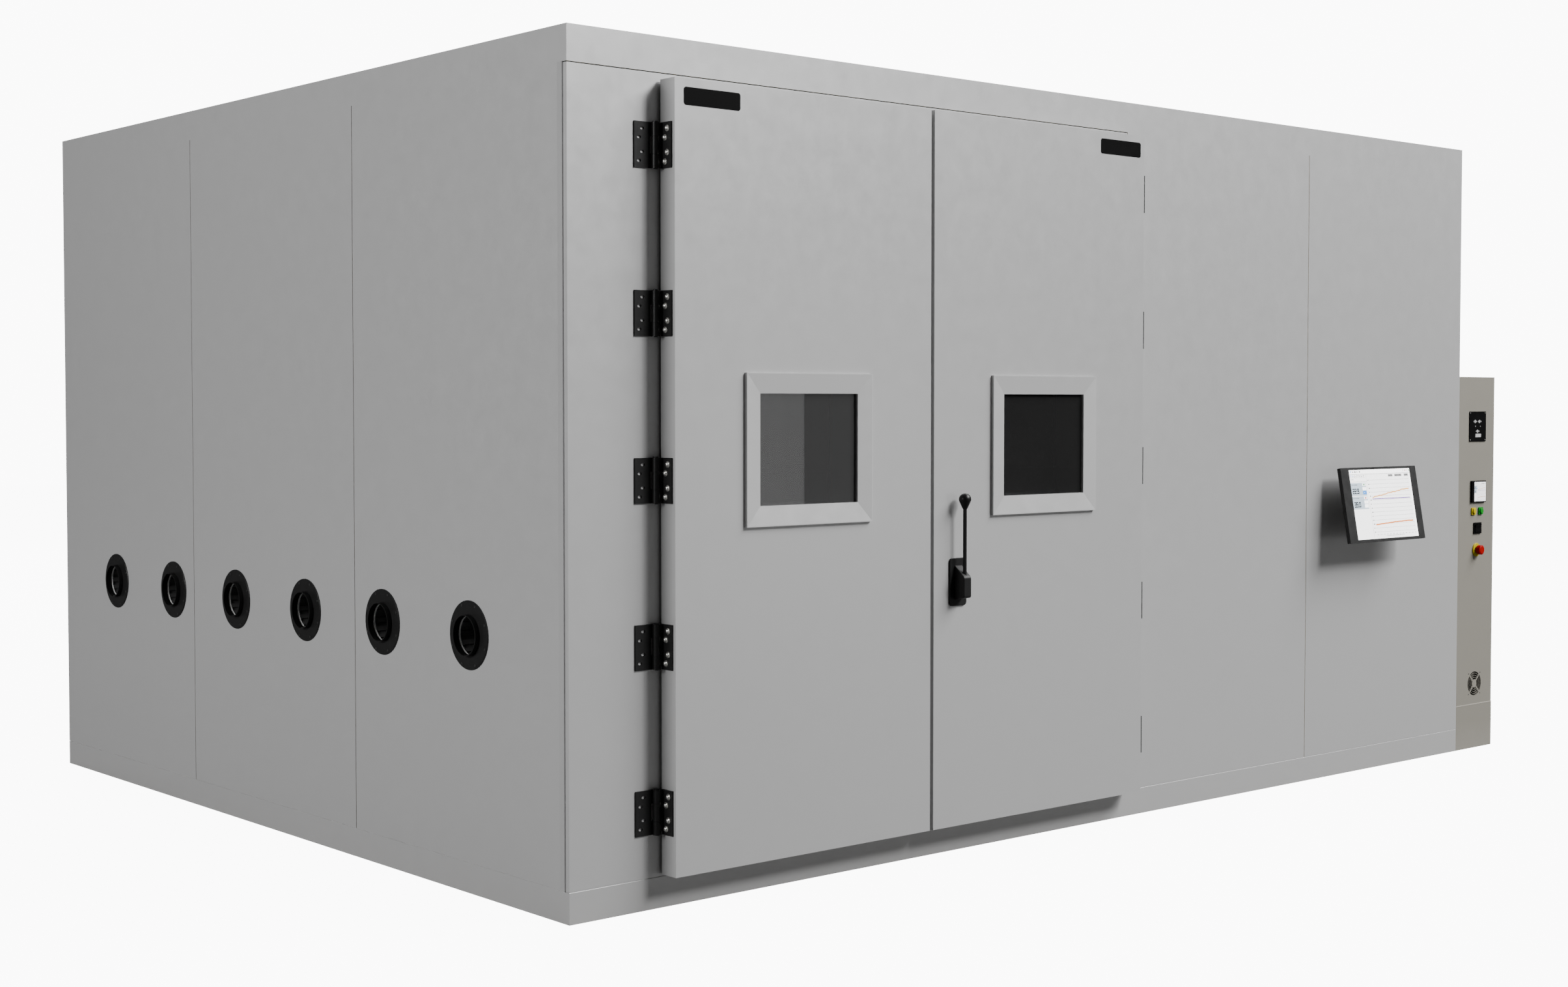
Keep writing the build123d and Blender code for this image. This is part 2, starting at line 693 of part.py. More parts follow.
def cabinet_shell():
    """Sheet cabinet beside the chamber, with the fan's ring slots punched in its front."""
    x0, x1 = width, width + cabinet_width
    t = cabinet_sheet
    shell = slab(x0, x1, 0, cabinet_depth, plinth_top, cabinet_top)
    shell = fillet(shell.edges().filter_by(Axis.Z).group_by(Axis.X)[-1], 4.0)
    shell -= slab(x0 + t, x1 - t, t, cabinet_depth - t, plinth_top + t, cabinet_top - t)
    for r0, r1 in grille_rings:
        ring = Circle(r1) - Circle(r0) - Rot(0, 0, 45) * Rectangle(2 * r1 + 2, grille_rib)
        ring -= Rot(0, 0, -45) * Rectangle(2 * r1 + 2, grille_rib)
        slots = Pos(cabinet_mid, t + 1, fan_grille_z) * Rot(90, 0, 0) * extrude(ring, t + 2)
        shell -= slots
    return shell


def cabinet_plinth():
    x0, x1 = width, width + cabinet_width
    block = slab(x0, x1, 0, cabinet_depth, 0, plinth_top)
    block = chamfer(block.faces().sort_by(Axis.Z)[-1].edges(), 2.0)
    return block - slab(x0 + 3, x1 - 3, 3, cabinet_depth - 3, 3, plinth_top + 1)


def cabinet_fan_frame():
    """Square fan body with four struts that hold the motor."""
    y0, half = cabinet_sheet, 52.0
    frame = slab(
        cabinet_mid - half, cabinet_mid + half, y0, y0 + 25, fan_grille_z - half, fan_grille_z + half
    )
    frame -= along_y(48.5, cabinet_mid, y0 - 1, y0 + 26, fan_grille_z)
    for angle in (45, 135):
        strut = Rot(0, angle, 0) * Box(96.0 + 6, 3.0, 5.0)
        frame += Pos(cabinet_mid, y0 + 23.5, fan_grille_z) * strut
    return frame + along_y(17.0, cabinet_mid, y0 + 20, y0 + 25, fan_grille_z)


def cabinet_fan_rotor():
    wheel = bladed_wheel(46.5, 17.0, 16.0, 7, 20.0, 2.0, 40.0)
    return Pos(cabinet_mid, cabinet_sheet + 11, fan_grille_z) * Rot(0, 0, 90) * wheel


def socket_panel():
    """Black plate with two rows of data and power sockets."""
    plate = slab(4653.0, 4782.0, -3.0, 0, 1313.5, 1441.0)
    plate = fillet(plate.edges().filter_by(Axis.Y), 3.0)
    for x in (cabinet_mid - 22, cabinet_mid + 22):
        for z in (1398.6, 1357.0):
            plate -= slab(x - 9, x + 9, -4.0, -1.0, z - 5.5, z + 5.5)
    return plate


def cabinet_display():
    box = slab(4668.5, 4780.0, -9.0, 0, 1053.0, 1145.5)
    return chamfer(box.faces().sort_by(Axis.Y)[0].edges(), 2.0)


def switch_bezels():
    """Rims of the two push buttons and the frame of the rocker."""
    rims = []
    for x in (yellow_x, green_x):
        rim = slab(x - 16, x + 16, -5.0, 0, buttons_z - 15, buttons_z + 15)
        rim = fillet(rim.edges().filter_by(Axis.Y), 4.0)
        rims.append(rim - along_y(button_r + 0.5, x, -6, 1, buttons_z))
    x, z = cabinet_mid + 6, rocker_z
    frame = slab(x - 29, x + 29, -5.0, 0, z - 23.5, z + 23.5)
    hole = slab(x - 22, x + 22, -6, 1, z - 17, z + 17)
    return group(rims + [frame - hole])


def push_button(x):
    cap = along_y(button_r, x, -11.0, -button_travel - 0.6, buttons_z)
    return chamfer(cap.faces().sort_by(Axis.Y)[0].edges(), 1.0)


def power_rocker():
    """Rocker key with a shallow V face, tipped to one side about its middle."""
    profile = Plane((-21.5, 0, 0), x_dir=(0, 1, 0), z_dir=(1, 0, 0))
    points = [(0.3, -15.0), (-5.5, -16.0), (-3.0, 0), (-5.5, 16.0), (0.3, 15.0)]
    key = extrude(profile * make_face(Polyline(*points, close=True)), 43.0)
    return Pos(cabinet_mid + 6, rocker_y, rocker_z) * Rot(rocker_tip, 0, 0) * key


def estop_ring():
    ring = along_y(28.5, cabinet_mid, -6.0, 0, estop_z)
    ring = chamfer(ring.faces().sort_by(Axis.Y)[0].edges(), 1.5)
    return ring - along_y(13.5, cabinet_mid, -7, 1, estop_z)


def estop_button():
    """Mushroom head on a narrower neck."""
    neck = along_y(13.0, cabinet_mid, -16.0, -estop_travel - 0.6, estop_z)
    head = along_y(20.0, cabinet_mid, -31.0, -12.5, estop_z)
    head = chamfer(head.faces().sort_by(Axis.Y)[0].edges(), 2.5, 5.0)
    return neck + head


def build():
    skin_pan, core, pan = door_skin(), door_core(), door_liner()
    frame, glass, seal = window_frame(), window_glass(), door_gasket()
    leaves = group([hinge_door_leaf(z) for z in hinge_z])
    bolts = hinge_bolts()
    wall_leaves = [hinge_wall_leaf(z) for z in hinge_z]
    pins = [hinge_pin(z) for z in hinge_z]
    return {
        "base_pan": base_pan(),
        "left_wall_skins": left_wall_skins(),
        "back_wall_skins": back_wall_skins(),
        "right_wall_skins": right_wall_skins(),
        "front_wall_skins": front_wall_skins(),
        "roof_skin": roof_skin(),
        "insulation_cores": insulation_cores(),
        "seam_gaskets": seam_gaskets(),
        "chamber_liner": chamber_liner(),
        "door_jamb": door_jamb(),
        "port_flanges": port_flanges(),
        "port_tubes": port_tubes(),
        "port_rings": port_rings(),
        "hinge_wall_leaves": group(wall_leaves + [mirror_door(leaf) for leaf in wall_leaves]),
        "hinge_pins": group(pins + [mirror_door(pin) for pin in pins]),
        "plenum_wall": plenum_wall(),
        "supply_louvres": supply_louvres(),
        "evaporator_coil": evaporator_coil(),
        "heater_elements": heater_elements(),
        "fan_shroud": fan_shroud(),
        "fan_motors": fan_motors(),
        "chamber_light": chamber_light(),
        "screen_bracket": screen_bracket(),
        "cabinet_shell": cabinet_shell(),
        "cabinet_plinth": cabinet_plinth(),
        "cabinet_fan_frame": cabinet_fan_frame(),
        "socket_panel": socket_panel(),
        "cabinet_display": cabinet_display(),
        "switch_bezels": switch_bezels(),
        "estop_ring": estop_ring(),
        "left_door_skin": skin_pan,
        "left_door_core": core,
        "left_door_liner": pan,
        "left_window_frame": frame,
        "left_window_glass": glass,
        "left_door_gaskets": group([seal, meeting_strip()]),
        "left_hinge_leaves": leaves,
        "left_hinge_bolts": bolts,
        "latch_keeper": latch_keeper(),
        "right_door_skin": door_spindle_hole(mirror_door(skin_pan)),
        "right_door_core": door_spindle_hole(mirror_door(core)),
        "right_door_liner": door_spindle_hole(mirror_door(pan)),
        "right_window_frame": mirror_door(frame),
        "right_window_glass": mirror_door(glass),
        "right_door_gasket": mirror_door(seal),
        "right_hinge_leaves": mirror_door(leaves),
        "right_hinge_bolts": mirror_door(bolts),
        "handle_plate": handle_plate(),
        "latch_lever": latch_lever(),
        "latch_knob": latch_knob(),
        "latch_spindle": latch_spindle(),
        "screen_housing": screen_housing(),
        "screen_panel": screen_panel(),
        "yellow_button": push_button(yellow_x),
        "green_button": push_button(green_x),
        "power_rocker": power_rocker(),
        "estop_button": estop_button(),
        "cabinet_fan_rotor": cabinet_fan_rotor(),
        "blower_fan_front": blower_fan(fan_y[0]),
        "blower_fan_rear": blower_fan(fan_y[1]),
    }


os.makedirs("parts", exist_ok=True)
to_origin = Location((-width / 2, -depth / 2, 0))
for name, shape in build().items():
    export_step(shape.moved(to_origin), f"parts/{name}.step")
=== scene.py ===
import bpy
import bmesh
import math
from mathutils import Matrix, Vector


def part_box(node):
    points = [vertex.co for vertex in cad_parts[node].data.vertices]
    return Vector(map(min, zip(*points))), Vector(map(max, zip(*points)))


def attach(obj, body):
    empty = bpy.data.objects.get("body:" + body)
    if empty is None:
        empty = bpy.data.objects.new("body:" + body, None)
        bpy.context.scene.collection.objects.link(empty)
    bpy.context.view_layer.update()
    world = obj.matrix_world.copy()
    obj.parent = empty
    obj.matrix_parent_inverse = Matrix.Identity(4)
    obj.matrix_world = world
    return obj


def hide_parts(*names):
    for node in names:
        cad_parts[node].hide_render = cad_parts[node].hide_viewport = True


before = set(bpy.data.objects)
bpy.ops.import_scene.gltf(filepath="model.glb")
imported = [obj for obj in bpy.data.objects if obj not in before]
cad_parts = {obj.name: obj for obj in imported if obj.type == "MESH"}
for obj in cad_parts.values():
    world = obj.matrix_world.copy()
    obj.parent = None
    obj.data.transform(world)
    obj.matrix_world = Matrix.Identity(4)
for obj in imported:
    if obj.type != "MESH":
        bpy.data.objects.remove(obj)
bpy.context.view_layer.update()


# Small mesh helpers

def addObject(name, mesh, material, body):
    piece = bpy.data.objects.new(name, mesh)
    bpy.context.scene.collection.objects.link(piece)
    mesh.materials.append(material)
    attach(piece, body)
    return piece


def finishMesh(name, bm, smoothAngle=None):
    bmesh.ops.recalc_face_normals(bm, faces=bm.faces)
    mesh = bpy.data.meshes.new(name)
    bm.to_mesh(mesh)
    bm.free()
    if smoothAngle is not None:
        mesh.shade_smooth()
        mesh.set_sharp_from_angle(angle=math.radians(smoothAngle))
    return mesh


def addPiece(name, bm, material, body="chamber", smoothAngle=None):
    piece = addObject(name, finishMesh(name, bm, smoothAngle), material, body)
    return piece


def addLayers(bm, layers, place, ring=False):
    # a solid through outlines of equal point counts at their heights, or a ring closed on itself
    loops = [[bm.verts.new(place @ Vector((x, y, z))) for x, y in outline] for outline, z in layers]
    following = loops[1:] + loops[:1] if ring else loops[1:]
    for a, b in zip(loops, following):
        for i in range(len(a)):
            j = (i + 1) % len(a)
            bm.faces.new((a[i], a[j], b[j], b[i]))
    if not ring:
        bm.faces.new(loops[0][::-1])
        bm.faces.new(loops[-1])


def addPlate(bm, outline, depth, place):
    # outline in its own x, y; the plate rises along its own z
    addLayers(bm, [(outline, 0), (outline, depth)], place)


def addTurned(bm, profile, place, steps=14):
    # profile of (radius, height) pairs, turned about its own z
    rings = []
    for radius, height in profile:
        if radius == 0:
            rings.append([bm.verts.new(place @ Vector((0, 0, height)))])
            continue
        turns = [2 * math.pi * k / steps for k in range(steps)]
        points = [Vector((radius * math.cos(a), radius * math.sin(a), height)) for a in turns]
        rings.append([bm.verts.new(place @ point) for point in points])
    for a, b in zip(rings, rings[1:]):
        for k in range(steps):
            m = (k + 1) % steps
            corners = [a[k % len(a)], a[m % len(a)], b[m % len(b)], b[k % len(b)]]
            unique = [v for i, v in enumerate(corners) if v not in corners[:i]]
            if len(unique) > 2:
                bm.faces.new(unique)


def rounded(width, height, radius, steps=5, cx=0.0):
    points = []
    for sx, sy, start in ((1, 1, 0), (-1, 1, 90), (-1, -1, 180), (1, -1, 270)):
        for k in range(steps + 1):
            a = math.radians(start + 90 * k / steps)
            x = cx + sx * (width / 2 - radius) + radius * math.cos(a)
            y = sy * (height / 2 - radius) + radius * math.sin(a)
            points.append((x, y))
    return points


def facing(direction, at):
    # a place whose own z looks along the direction, its x level
    z = Vector(direction).normalized()
    x = Vector((0, 0, 1)).cross(z).normalized()
    y = z.cross(x)
    basis = Matrix((x, y, z)).transposed().to_4x4()
    return Matrix.Translation(Vector(at)) @ basis


# Shader groups that several finishes use

def newGroup(name, inputs, outputs):
    group = bpy.data.node_groups.new(name, "ShaderNodeTree")
    for kind, label, value in inputs:
        socket = group.interface.new_socket(label, in_out="INPUT", socket_type=kind)
        socket.default_value = value
    for kind, label in outputs:
        group.interface.new_socket(label, in_out="OUTPUT", socket_type=kind)
    return group, group.nodes.new("NodeGroupInput"), group.nodes.new("NodeGroupOutput")


def feed(tree, socket, value):
    # a plain value or another node's output into a socket
    if isinstance(value, bpy.types.NodeSocket):
        tree.links.new(value, socket)
    else:
        socket.default_value = value


def mixColor(tree, factor, a, b, blend="MIX"):
    node = tree.nodes.new("ShaderNodeMix")
    node.data_type = "RGBA"
    node.blend_type = blend
    for slot, value in ((0, factor), (6, a), (7, b)):  # the mix node's colour sockets
        feed(tree, node.inputs[slot], value)
    return node.outputs[2]


def noiseAt(tree, vector, scale, detail=3.0, rough=0.55):
    node = tree.nodes.new("ShaderNodeTexNoise")
    node.inputs["Detail"].default_value = detail
    node.inputs["Roughness"].default_value = rough
    tree.links.new(vector, node.inputs["Vector"])
    feed(tree, node.inputs["Scale"], scale)
    return node.outputs["Fac"]


def remap(tree, value, fromLow, fromHigh, toLow, toHigh):
    node = tree.nodes.new("ShaderNodeMapRange")
    given = {"Value": value, "From Min": fromLow, "From Max": fromHigh, "To Min": toLow, "To Max": toHigh}
    for label, source in given.items():
        feed(tree, node.inputs[label], source)
    return node.outputs["Result"]


coatTexture = {
    "clouds": (1.3, 4.0), "cloudRange": (0.35, 0.7), "streaks": (14.0, 5.0, 0.7), "streakRange": (0.3, 0.7),
    "peelDetail": 2.0, "shade": (0.86, 0.87, 0.88, 1), "depth": 0.0004,
}


def makeCoatGroup():
    # powder coat: fine orange peel, faint cloudiness, uneven gloss
    part = coatTexture
    group, given, out = newGroup(
        "coatTexture",
        [
            ("NodeSocketVector", "Vector", (0, 0, 0)),
            ("NodeSocketColor", "Color", (0.5, 0.5, 0.5, 1)),
            ("NodeSocketFloat", "Peel Scale", 450.0),
            ("NodeSocketFloat", "Low Roughness", 0.4),
            ("NodeSocketFloat", "High Roughness", 0.5),
            ("NodeSocketFloat", "Clouding", 0.04),
        ],
        [("NodeSocketColor", "Color"), ("NodeSocketFloat", "Roughness"), ("NodeSocketFloat", "Height")],
    )
    vector, plain = given.outputs["Vector"], given.outputs["Color"]
    cloud = noiseAt(group, vector, *part["clouds"])
    streak = noiseAt(group, vector, *part["streaks"])
    peel = noiseAt(group, vector, given.outputs["Peel Scale"], part["peelDetail"])
    darker = mixColor(group, 1.0, plain, part["shade"], "MULTIPLY")
    clouded = remap(group, cloud, *part["cloudRange"], 0.0, given.outputs["Clouding"])
    color = mixColor(group, clouded, plain, darker)
    low, high = given.outputs["Low Roughness"], given.outputs["High Roughness"]
    gloss = remap(group, streak, *part["streakRange"], low, high)
    group.links.new(color, out.inputs["Color"])
    group.links.new(gloss, out.inputs["Roughness"])
    group.links.new(peel, out.inputs["Height"])
    return group


dustTexture = {"patches": (9.0, 6.0, 0.65), "tone": (0.42, 0.40, 0.37, 1), "height": 0.12}


def makeDustGroup():
    # dust and scuffs that thicken towards the floor
    part = dustTexture
    group, given, out = newGroup(
        "floorDust",
        [
            ("NodeSocketVector", "Vector", (0, 0, 0)),
            ("NodeSocketColor", "Color", (0.5, 0.5, 0.5, 1)),
            ("NodeSocketColor", "Dust Color", part["tone"]),
            ("NodeSocketFloat", "Height", part["height"]),
            ("NodeSocketFloat", "Amount", 0.2),
        ],
        [("NodeSocketColor", "Color")],
    )
    split = group.nodes.new("ShaderNodeSeparateXYZ")
    group.links.new(given.outputs["Vector"], split.inputs[0])
    near = remap(group, split.outputs["Z"], 0.0, given.outputs["Height"], given.outputs["Amount"], 0.0)
    patch = noiseAt(group, given.outputs["Vector"], *part["patches"])
    broken = group.nodes.new("ShaderNodeMath")
    broken.operation = "MULTIPLY"
    group.links.new(near, broken.inputs[0])
    group.links.new(patch, broken.inputs[1])
    color = mixColor(group, broken.outputs[0], given.outputs["Color"], given.outputs["Dust Color"])
    group.links.new(color, out.inputs["Color"])
    return group


brushTexture = {
    "lines": (1.0, 3.0, 0.6), "lineRange": (0.3, 0.7), "lineShade": 0.5, "glossRange": (0.25, 0.75),
    "marks": (2.5, 5.0, 0.6), "markRange": (0.4, 0.75), "markShade": 0.35,
    "shade": (0.78, 0.78, 0.79, 1), "depth": 0.0003,
}


def makeBrushGroup():
    # fine drawn lines of rolled or brushed metal, long along the stretch's small values
    part = brushTexture
    group, given, out = newGroup(
        "brushedLines",
        [
            ("NodeSocketVector", "Vector", (0, 0, 0)),
            ("NodeSocketVector", "Stretch", (900, 900, 14)),
            ("NodeSocketColor", "Color", (0.6, 0.6, 0.6, 1)),
            ("NodeSocketFloat", "Low Roughness", 0.25),
            ("NodeSocketFloat", "High Roughness", 0.42),
        ],
        [("NodeSocketColor", "Color"), ("NodeSocketFloat", "Roughness"), ("NodeSocketFloat", "Height")],
    )
    vector, plain = given.outputs["Vector"], given.outputs["Color"]
    scaled = group.nodes.new("ShaderNodeVectorMath")
    scaled.operation = "MULTIPLY"
    group.links.new(vector, scaled.inputs[0])
    group.links.new(given.outputs["Stretch"], scaled.inputs[1])
    lines = noiseAt(group, scaled.outputs[0], *part["lines"])
    marks = noiseAt(group, vector, *part["marks"])
    darker = mixColor(group, 1.0, plain, part["shade"], "MULTIPLY")
    lined = remap(group, lines, *part["lineRange"], 0.0, part["lineShade"])
    marked = remap(group, marks, *part["markRange"], 0.0, part["markShade"])
    color = mixColor(group, marked, mixColor(group, lined, plain, darker), darker)
    low, high = given.outputs["Low Roughness"], given.outputs["High Roughness"]
    group.links.new(color, out.inputs["Color"])
    group.links.new(remap(group, lines, *part["glossRange"], low, high), out.inputs["Roughness"])
    group.links.new(lines, out.inputs["Height"])
    return group


grainTexture = {
    "wipes": (30.0, 4.0, 0.6), "wipeRange": (0.45, 0.75), "wipeShade": 0.35, "glossRange": (0.3, 0.7),
    "shade": (1.5, 1.5, 1.5, 1), "depth": 0.0002,
}


def makeGrainGroup():
    # moulded grain of plastic and rubber
    part = grainTexture
    group, given, out = newGroup(
        "mouldedGrain",
        [
            ("NodeSocketVector", "Vector", (0, 0, 0)),
            ("NodeSocketColor", "Color", (0.03, 0.03, 0.03, 1)),
            ("NodeSocketFloat", "Grain Scale", 1600.0),
            ("NodeSocketFloat", "Low Roughness", 0.4),
            ("NodeSocketFloat", "High Roughness", 0.6),
        ],
        [("NodeSocketColor", "Color"), ("NodeSocketFloat", "Roughness"), ("NodeSocketFloat", "Height")],
    )
    vector, plain = given.outputs["Vector"], given.outputs["Color"]
    cells = group.nodes.new("ShaderNodeTexVoronoi")
    group.links.new(vector, cells.inputs["Vector"])
    group.links.new(given.outputs["Grain Scale"], cells.inputs["Scale"])
    wipe = noiseAt(group, vector, *part["wipes"])
    lighter = mixColor(group, 1.0, plain, part["shade"], "MULTIPLY")
    wiped = remap(group, wipe, *part["wipeRange"], 0.0, part["wipeShade"])
    low, high = given.outputs["Low Roughness"], given.outputs["High Roughness"]
    group.links.new(mixColor(group, wiped, plain, lighter), out.inputs["Color"])
    group.links.new(remap(group, wipe, *part["glossRange"], low, high), out.inputs["Roughness"])
    group.links.new(cells.outputs["Distance"], out.inputs["Height"])
    return group


groups = {
    "coat": makeCoatGroup(),
    "dust": makeDustGroup(),
    "brush": makeBrushGroup(),
    "grain": makeGrainGroup(),
}


# Finishes

def newMaterial(name, **shaderValues):
    material = bpy.data.materials.new(name)
    material.use_nodes = True
    shader = material.node_tree.nodes["Principled BSDF"]
    for label, value in shaderValues.items():
        shader.inputs[label.replace("_", " ")].default_value = value
    coords = material.node_tree.nodes.new("ShaderNodeTexCoord")
    return material, material.node_tree, shader, coords.outputs["Object"]


def placeGroup(tree, group, **values):
    node = tree.nodes.new("ShaderNodeGroup")
    node.node_tree = groups[group]
    for label, value in values.items():
        feed(tree, node.inputs[label.replace("_", " ")], value)
    return node


def texturedMaterial(name, group, color, rough, bump, depth, shaderValues, dust=0.0, **groupValues):
    material, tree, shader, coords = newMaterial(name, **shaderValues)
    texture = placeGroup(
        tree, group, Vector=coords, Color=(*color, 1), Low_Roughness=rough[0], High_Roughness=rough[1],
        **groupValues,
    )
    colorOut = texture.outputs["Color"]
    if dust:
        colorOut = placeGroup(tree, "dust", Vector=coords, Color=colorOut, Amount=dust).outputs["Color"]
    tree.links.new(colorOut, shader.inputs["Base Color"])
    tree.links.new(texture.outputs["Roughness"], shader.inputs["Roughness"])
    uneven = tree.nodes.new("ShaderNodeBump")
    uneven.inputs["Strength"].default_value = bump
    uneven.inputs["Distance"].default_value = depth
    tree.links.new(texture.outputs["Height"], uneven.inputs["Height"])
    tree.links.new(uneven.outputs["Normal"], shader.inputs["Normal"])
    return material


def coatMaterial(name, color, rough, clouding=0.05, dust=0.0, peelScale=450.0, bump=0.08, **values):
    return texturedMaterial(
        name, "coat", color, rough, bump, coatTexture["depth"], values, dust,
        Peel_Scale=peelScale, Clouding=clouding,
    )


def brushedMaterial(name, color, rough, stretch=(900, 900, 14), bump=0.05):
    depth = brushTexture["depth"]
    return texturedMaterial(name, "brush", color, rough, bump, depth, {"Metallic": 1.0}, Stretch=stretch)


def mouldedMaterial(name, color, rough, grainScale=1600.0, bump=0.12, **values):
    depth = grainTexture["depth"]
    return texturedMaterial(name, "grain", color, rough, bump, depth, values, Grain_Scale=grainScale)


glassLook = {
    "smudges": (7.0, 5.0, 0.6), "darker": 0.85, "darkRange": (0.4, 0.7), "darkShare": 0.4,
    "glossRange": (0.3, 0.7), "alphaSpread": 0.03, "ior": 1.5,
}


def glassMaterial(name, tint, rough, alpha):
    part = glassLook
    material, tree, shader, coords = newMaterial(name, Metallic=0.0, IOR=part["ior"])
    smudge = noiseAt(tree, coords, *part["smudges"])
    dark = [c * part["darker"] for c in tint]
    share = remap(tree, smudge, *part["darkRange"], 0.0, part["darkShare"])
    tree.links.new(mixColor(tree, share, (*tint, 1), (*dark, 1)), shader.inputs["Base Color"])
    tree.links.new(remap(tree, smudge, *part["glossRange"], *rough), shader.inputs["Roughness"])
    clear = remap(tree, smudge, *part["glossRange"], alpha, alpha + part["alphaSpread"])
    tree.links.new(clear, shader.inputs["Alpha"])
    return material


litLook = {"rough": 0.3, "dots": (900.0, 1.0), "dotRange": (0.3, 0.7), "dim": 0.96}


def litMaterial(name, color, strength):
    # a lit display colour with a faint pixel structure
    part = litLook
    material, tree, shader, coords = newMaterial(name, Roughness=part["rough"])
    shader.inputs["Emission Strength"].default_value = strength
    dots = noiseAt(tree, coords, *part["dots"])
    dim = (*(c * part["dim"] for c in color), 1)
    shown = mixColor(tree, remap(tree, dots, *part["dotRange"], 0.0, 1.0), (*color, 1), dim)
    tree.links.new(shown, shader.inputs["Emission Color"])
    tree.links.new(shown, shader.inputs["Base Color"])
    return material


def grey(tone):
    return (tone, tone, tone)


finishes = {
    "enamel": coatMaterial("greyEnamel", grey(0.43), (0.34, 0.40), dust=0.25, Metallic=0.4),
    "doorEnamel": coatMaterial("doorEnamel", grey(0.43), (0.33, 0.39), clouding=0.04, Metallic=0.4),
    "frameEnamel": coatMaterial(
        "windowFrameEnamel", grey(0.48), (0.32, 0.40), clouding=0.04, peelScale=700.0, Metallic=0.4,
    ),
    "jamb": coatMaterial("jambEnamel", grey(0.36), (0.40, 0.50), Metallic=0.4),
    "cabinet": coatMaterial(
        "cabinetEnamel", (0.180, 0.170, 0.145), (0.42, 0.50), dust=0.2, peelScale=800.0, bump=0.12,
    ),
    # a lighter copy of the cabinet enamel: painted highlight for the plinth's top edge
    "cabinetHighlight": coatMaterial(
        "cabinetPaintedHighlight", (0.34, 0.32, 0.28), (0.42, 0.50), peelScale=800.0, bump=0.12,
    ),
    "blackSteel": coatMaterial(
        "blackHingeCoat", grey(0.010), (0.34, 0.46), clouding=0.4, peelScale=900.0, bump=0.15,
        Specular_IOR_Level=0.25,
    ),
    "latchBlack": coatMaterial(
        "latchBlackCoat", grey(0.007), (0.40, 0.50), clouding=0.3, peelScale=1200.0, bump=0.1,
        Specular_IOR_Level=0.2,
    ),
    "motor": coatMaterial(
        "motorEnamel", (0.06, 0.07, 0.08), (0.35, 0.50), clouding=0.2, peelScale=900.0, bump=0.2,
    ),
    "ring": coatMaterial(
        "brightRing", (0.92, 0.92, 0.90), (0.22, 0.34), clouding=0.1, peelScale=900.0, bump=0.05,
    ),
    "darkScrew": coatMaterial(
        "darkScrewCoat", grey(0.02), (0.25, 0.36), clouding=0.2, peelScale=2500.0, bump=0.1,
    ),
    "stainless": brushedMaterial("stainlessLiner", grey(0.50), (0.28, 0.42)),
    "zinc": brushedMaterial(
        "zincPlate", (0.80, 0.79, 0.75), (0.25, 0.40), stretch=(1500, 1500, 1500), bump=0.08,
    ),
    "aluminium": brushedMaterial(
        "coilFins", (0.66, 0.67, 0.68), (0.30, 0.45), stretch=(60, 1400, 14), bump=0.5,
    ),
    "portPlastic": mouldedMaterial(
        "portPlastic", grey(0.006), (0.36, 0.46), grainScale=2200.0, Specular_IOR_Level=0.25,
    ),
    "tubePlastic": mouldedMaterial(
        "flutedTubePlastic", grey(0.05), (0.30, 0.40), grainScale=2200.0, bump=0.06,
        Specular_IOR_Level=0.5,
    ),
    "blackPlastic": mouldedMaterial(
        "blackPlastic", grey(0.002), (0.50, 0.60), grainScale=2500.0, bump=0.05, Specular_IOR_Level=0.04,
    ),
    "platePlastic": mouldedMaterial(
        "platePlastic", grey(0.002), (0.50, 0.60), grainScale=4000.0, bump=0.01, Specular_IOR_Level=0.03,
    ),
    "screenCase": mouldedMaterial(
        "screenCasePlastic", grey(0.018), (0.40, 0.50), grainScale=2500.0, Specular_IOR_Level=0.2,
    ),
    "knob": mouldedMaterial(
        "knobPlastic", grey(0.004), (0.30, 0.40), grainScale=4000.0, bump=0.02, Specular_IOR_Level=0.2,
    ),
    "rubber": mouldedMaterial(
        "sealRubber", grey(0.006), (0.70, 0.80), grainScale=1200.0, bump=0.2, Specular_IOR_Level=0.1,
    ),
    "foam": mouldedMaterial("coreFoam", (0.62, 0.56, 0.38), (0.80, 0.95), grainScale=500.0, bump=0.6),
    "lamp": mouldedMaterial("lampDiffuser", (0.80, 0.80, 0.77), (0.30, 0.45), grainScale=900.0, bump=0.1),
    "yellow": mouldedMaterial(
        "yellowPlastic", (0.36, 0.28, 0.0005), (0.38, 0.48), grainScale=3500.0, bump=0.05,
        Specular_IOR_Level=0.08,
    ),
    "green": mouldedMaterial(
        "greenPlastic", (0.002, 0.18, 0.012), (0.38, 0.48), grainScale=3500.0, bump=0.05,
        Specular_IOR_Level=0.08,
    ),
    "red": mouldedMaterial(
        "redPlastic", (0.25, 0.0005, 0.0005), (0.40, 0.50), grainScale=3500.0, bump=0.05,
        Specular_IOR_Level=0.06,
    ),
    "printWhite": mouldedMaterial("printWhite", grey(0.36), (0.40, 0.50), grainScale=3000.0, bump=0.05),
    "glass": glassMaterial("windowGlass", grey(0.02), (0.004, 0.012), 0.45),
}
print("finishes built:", len(finishes))


# Finishes of the CAD nodes

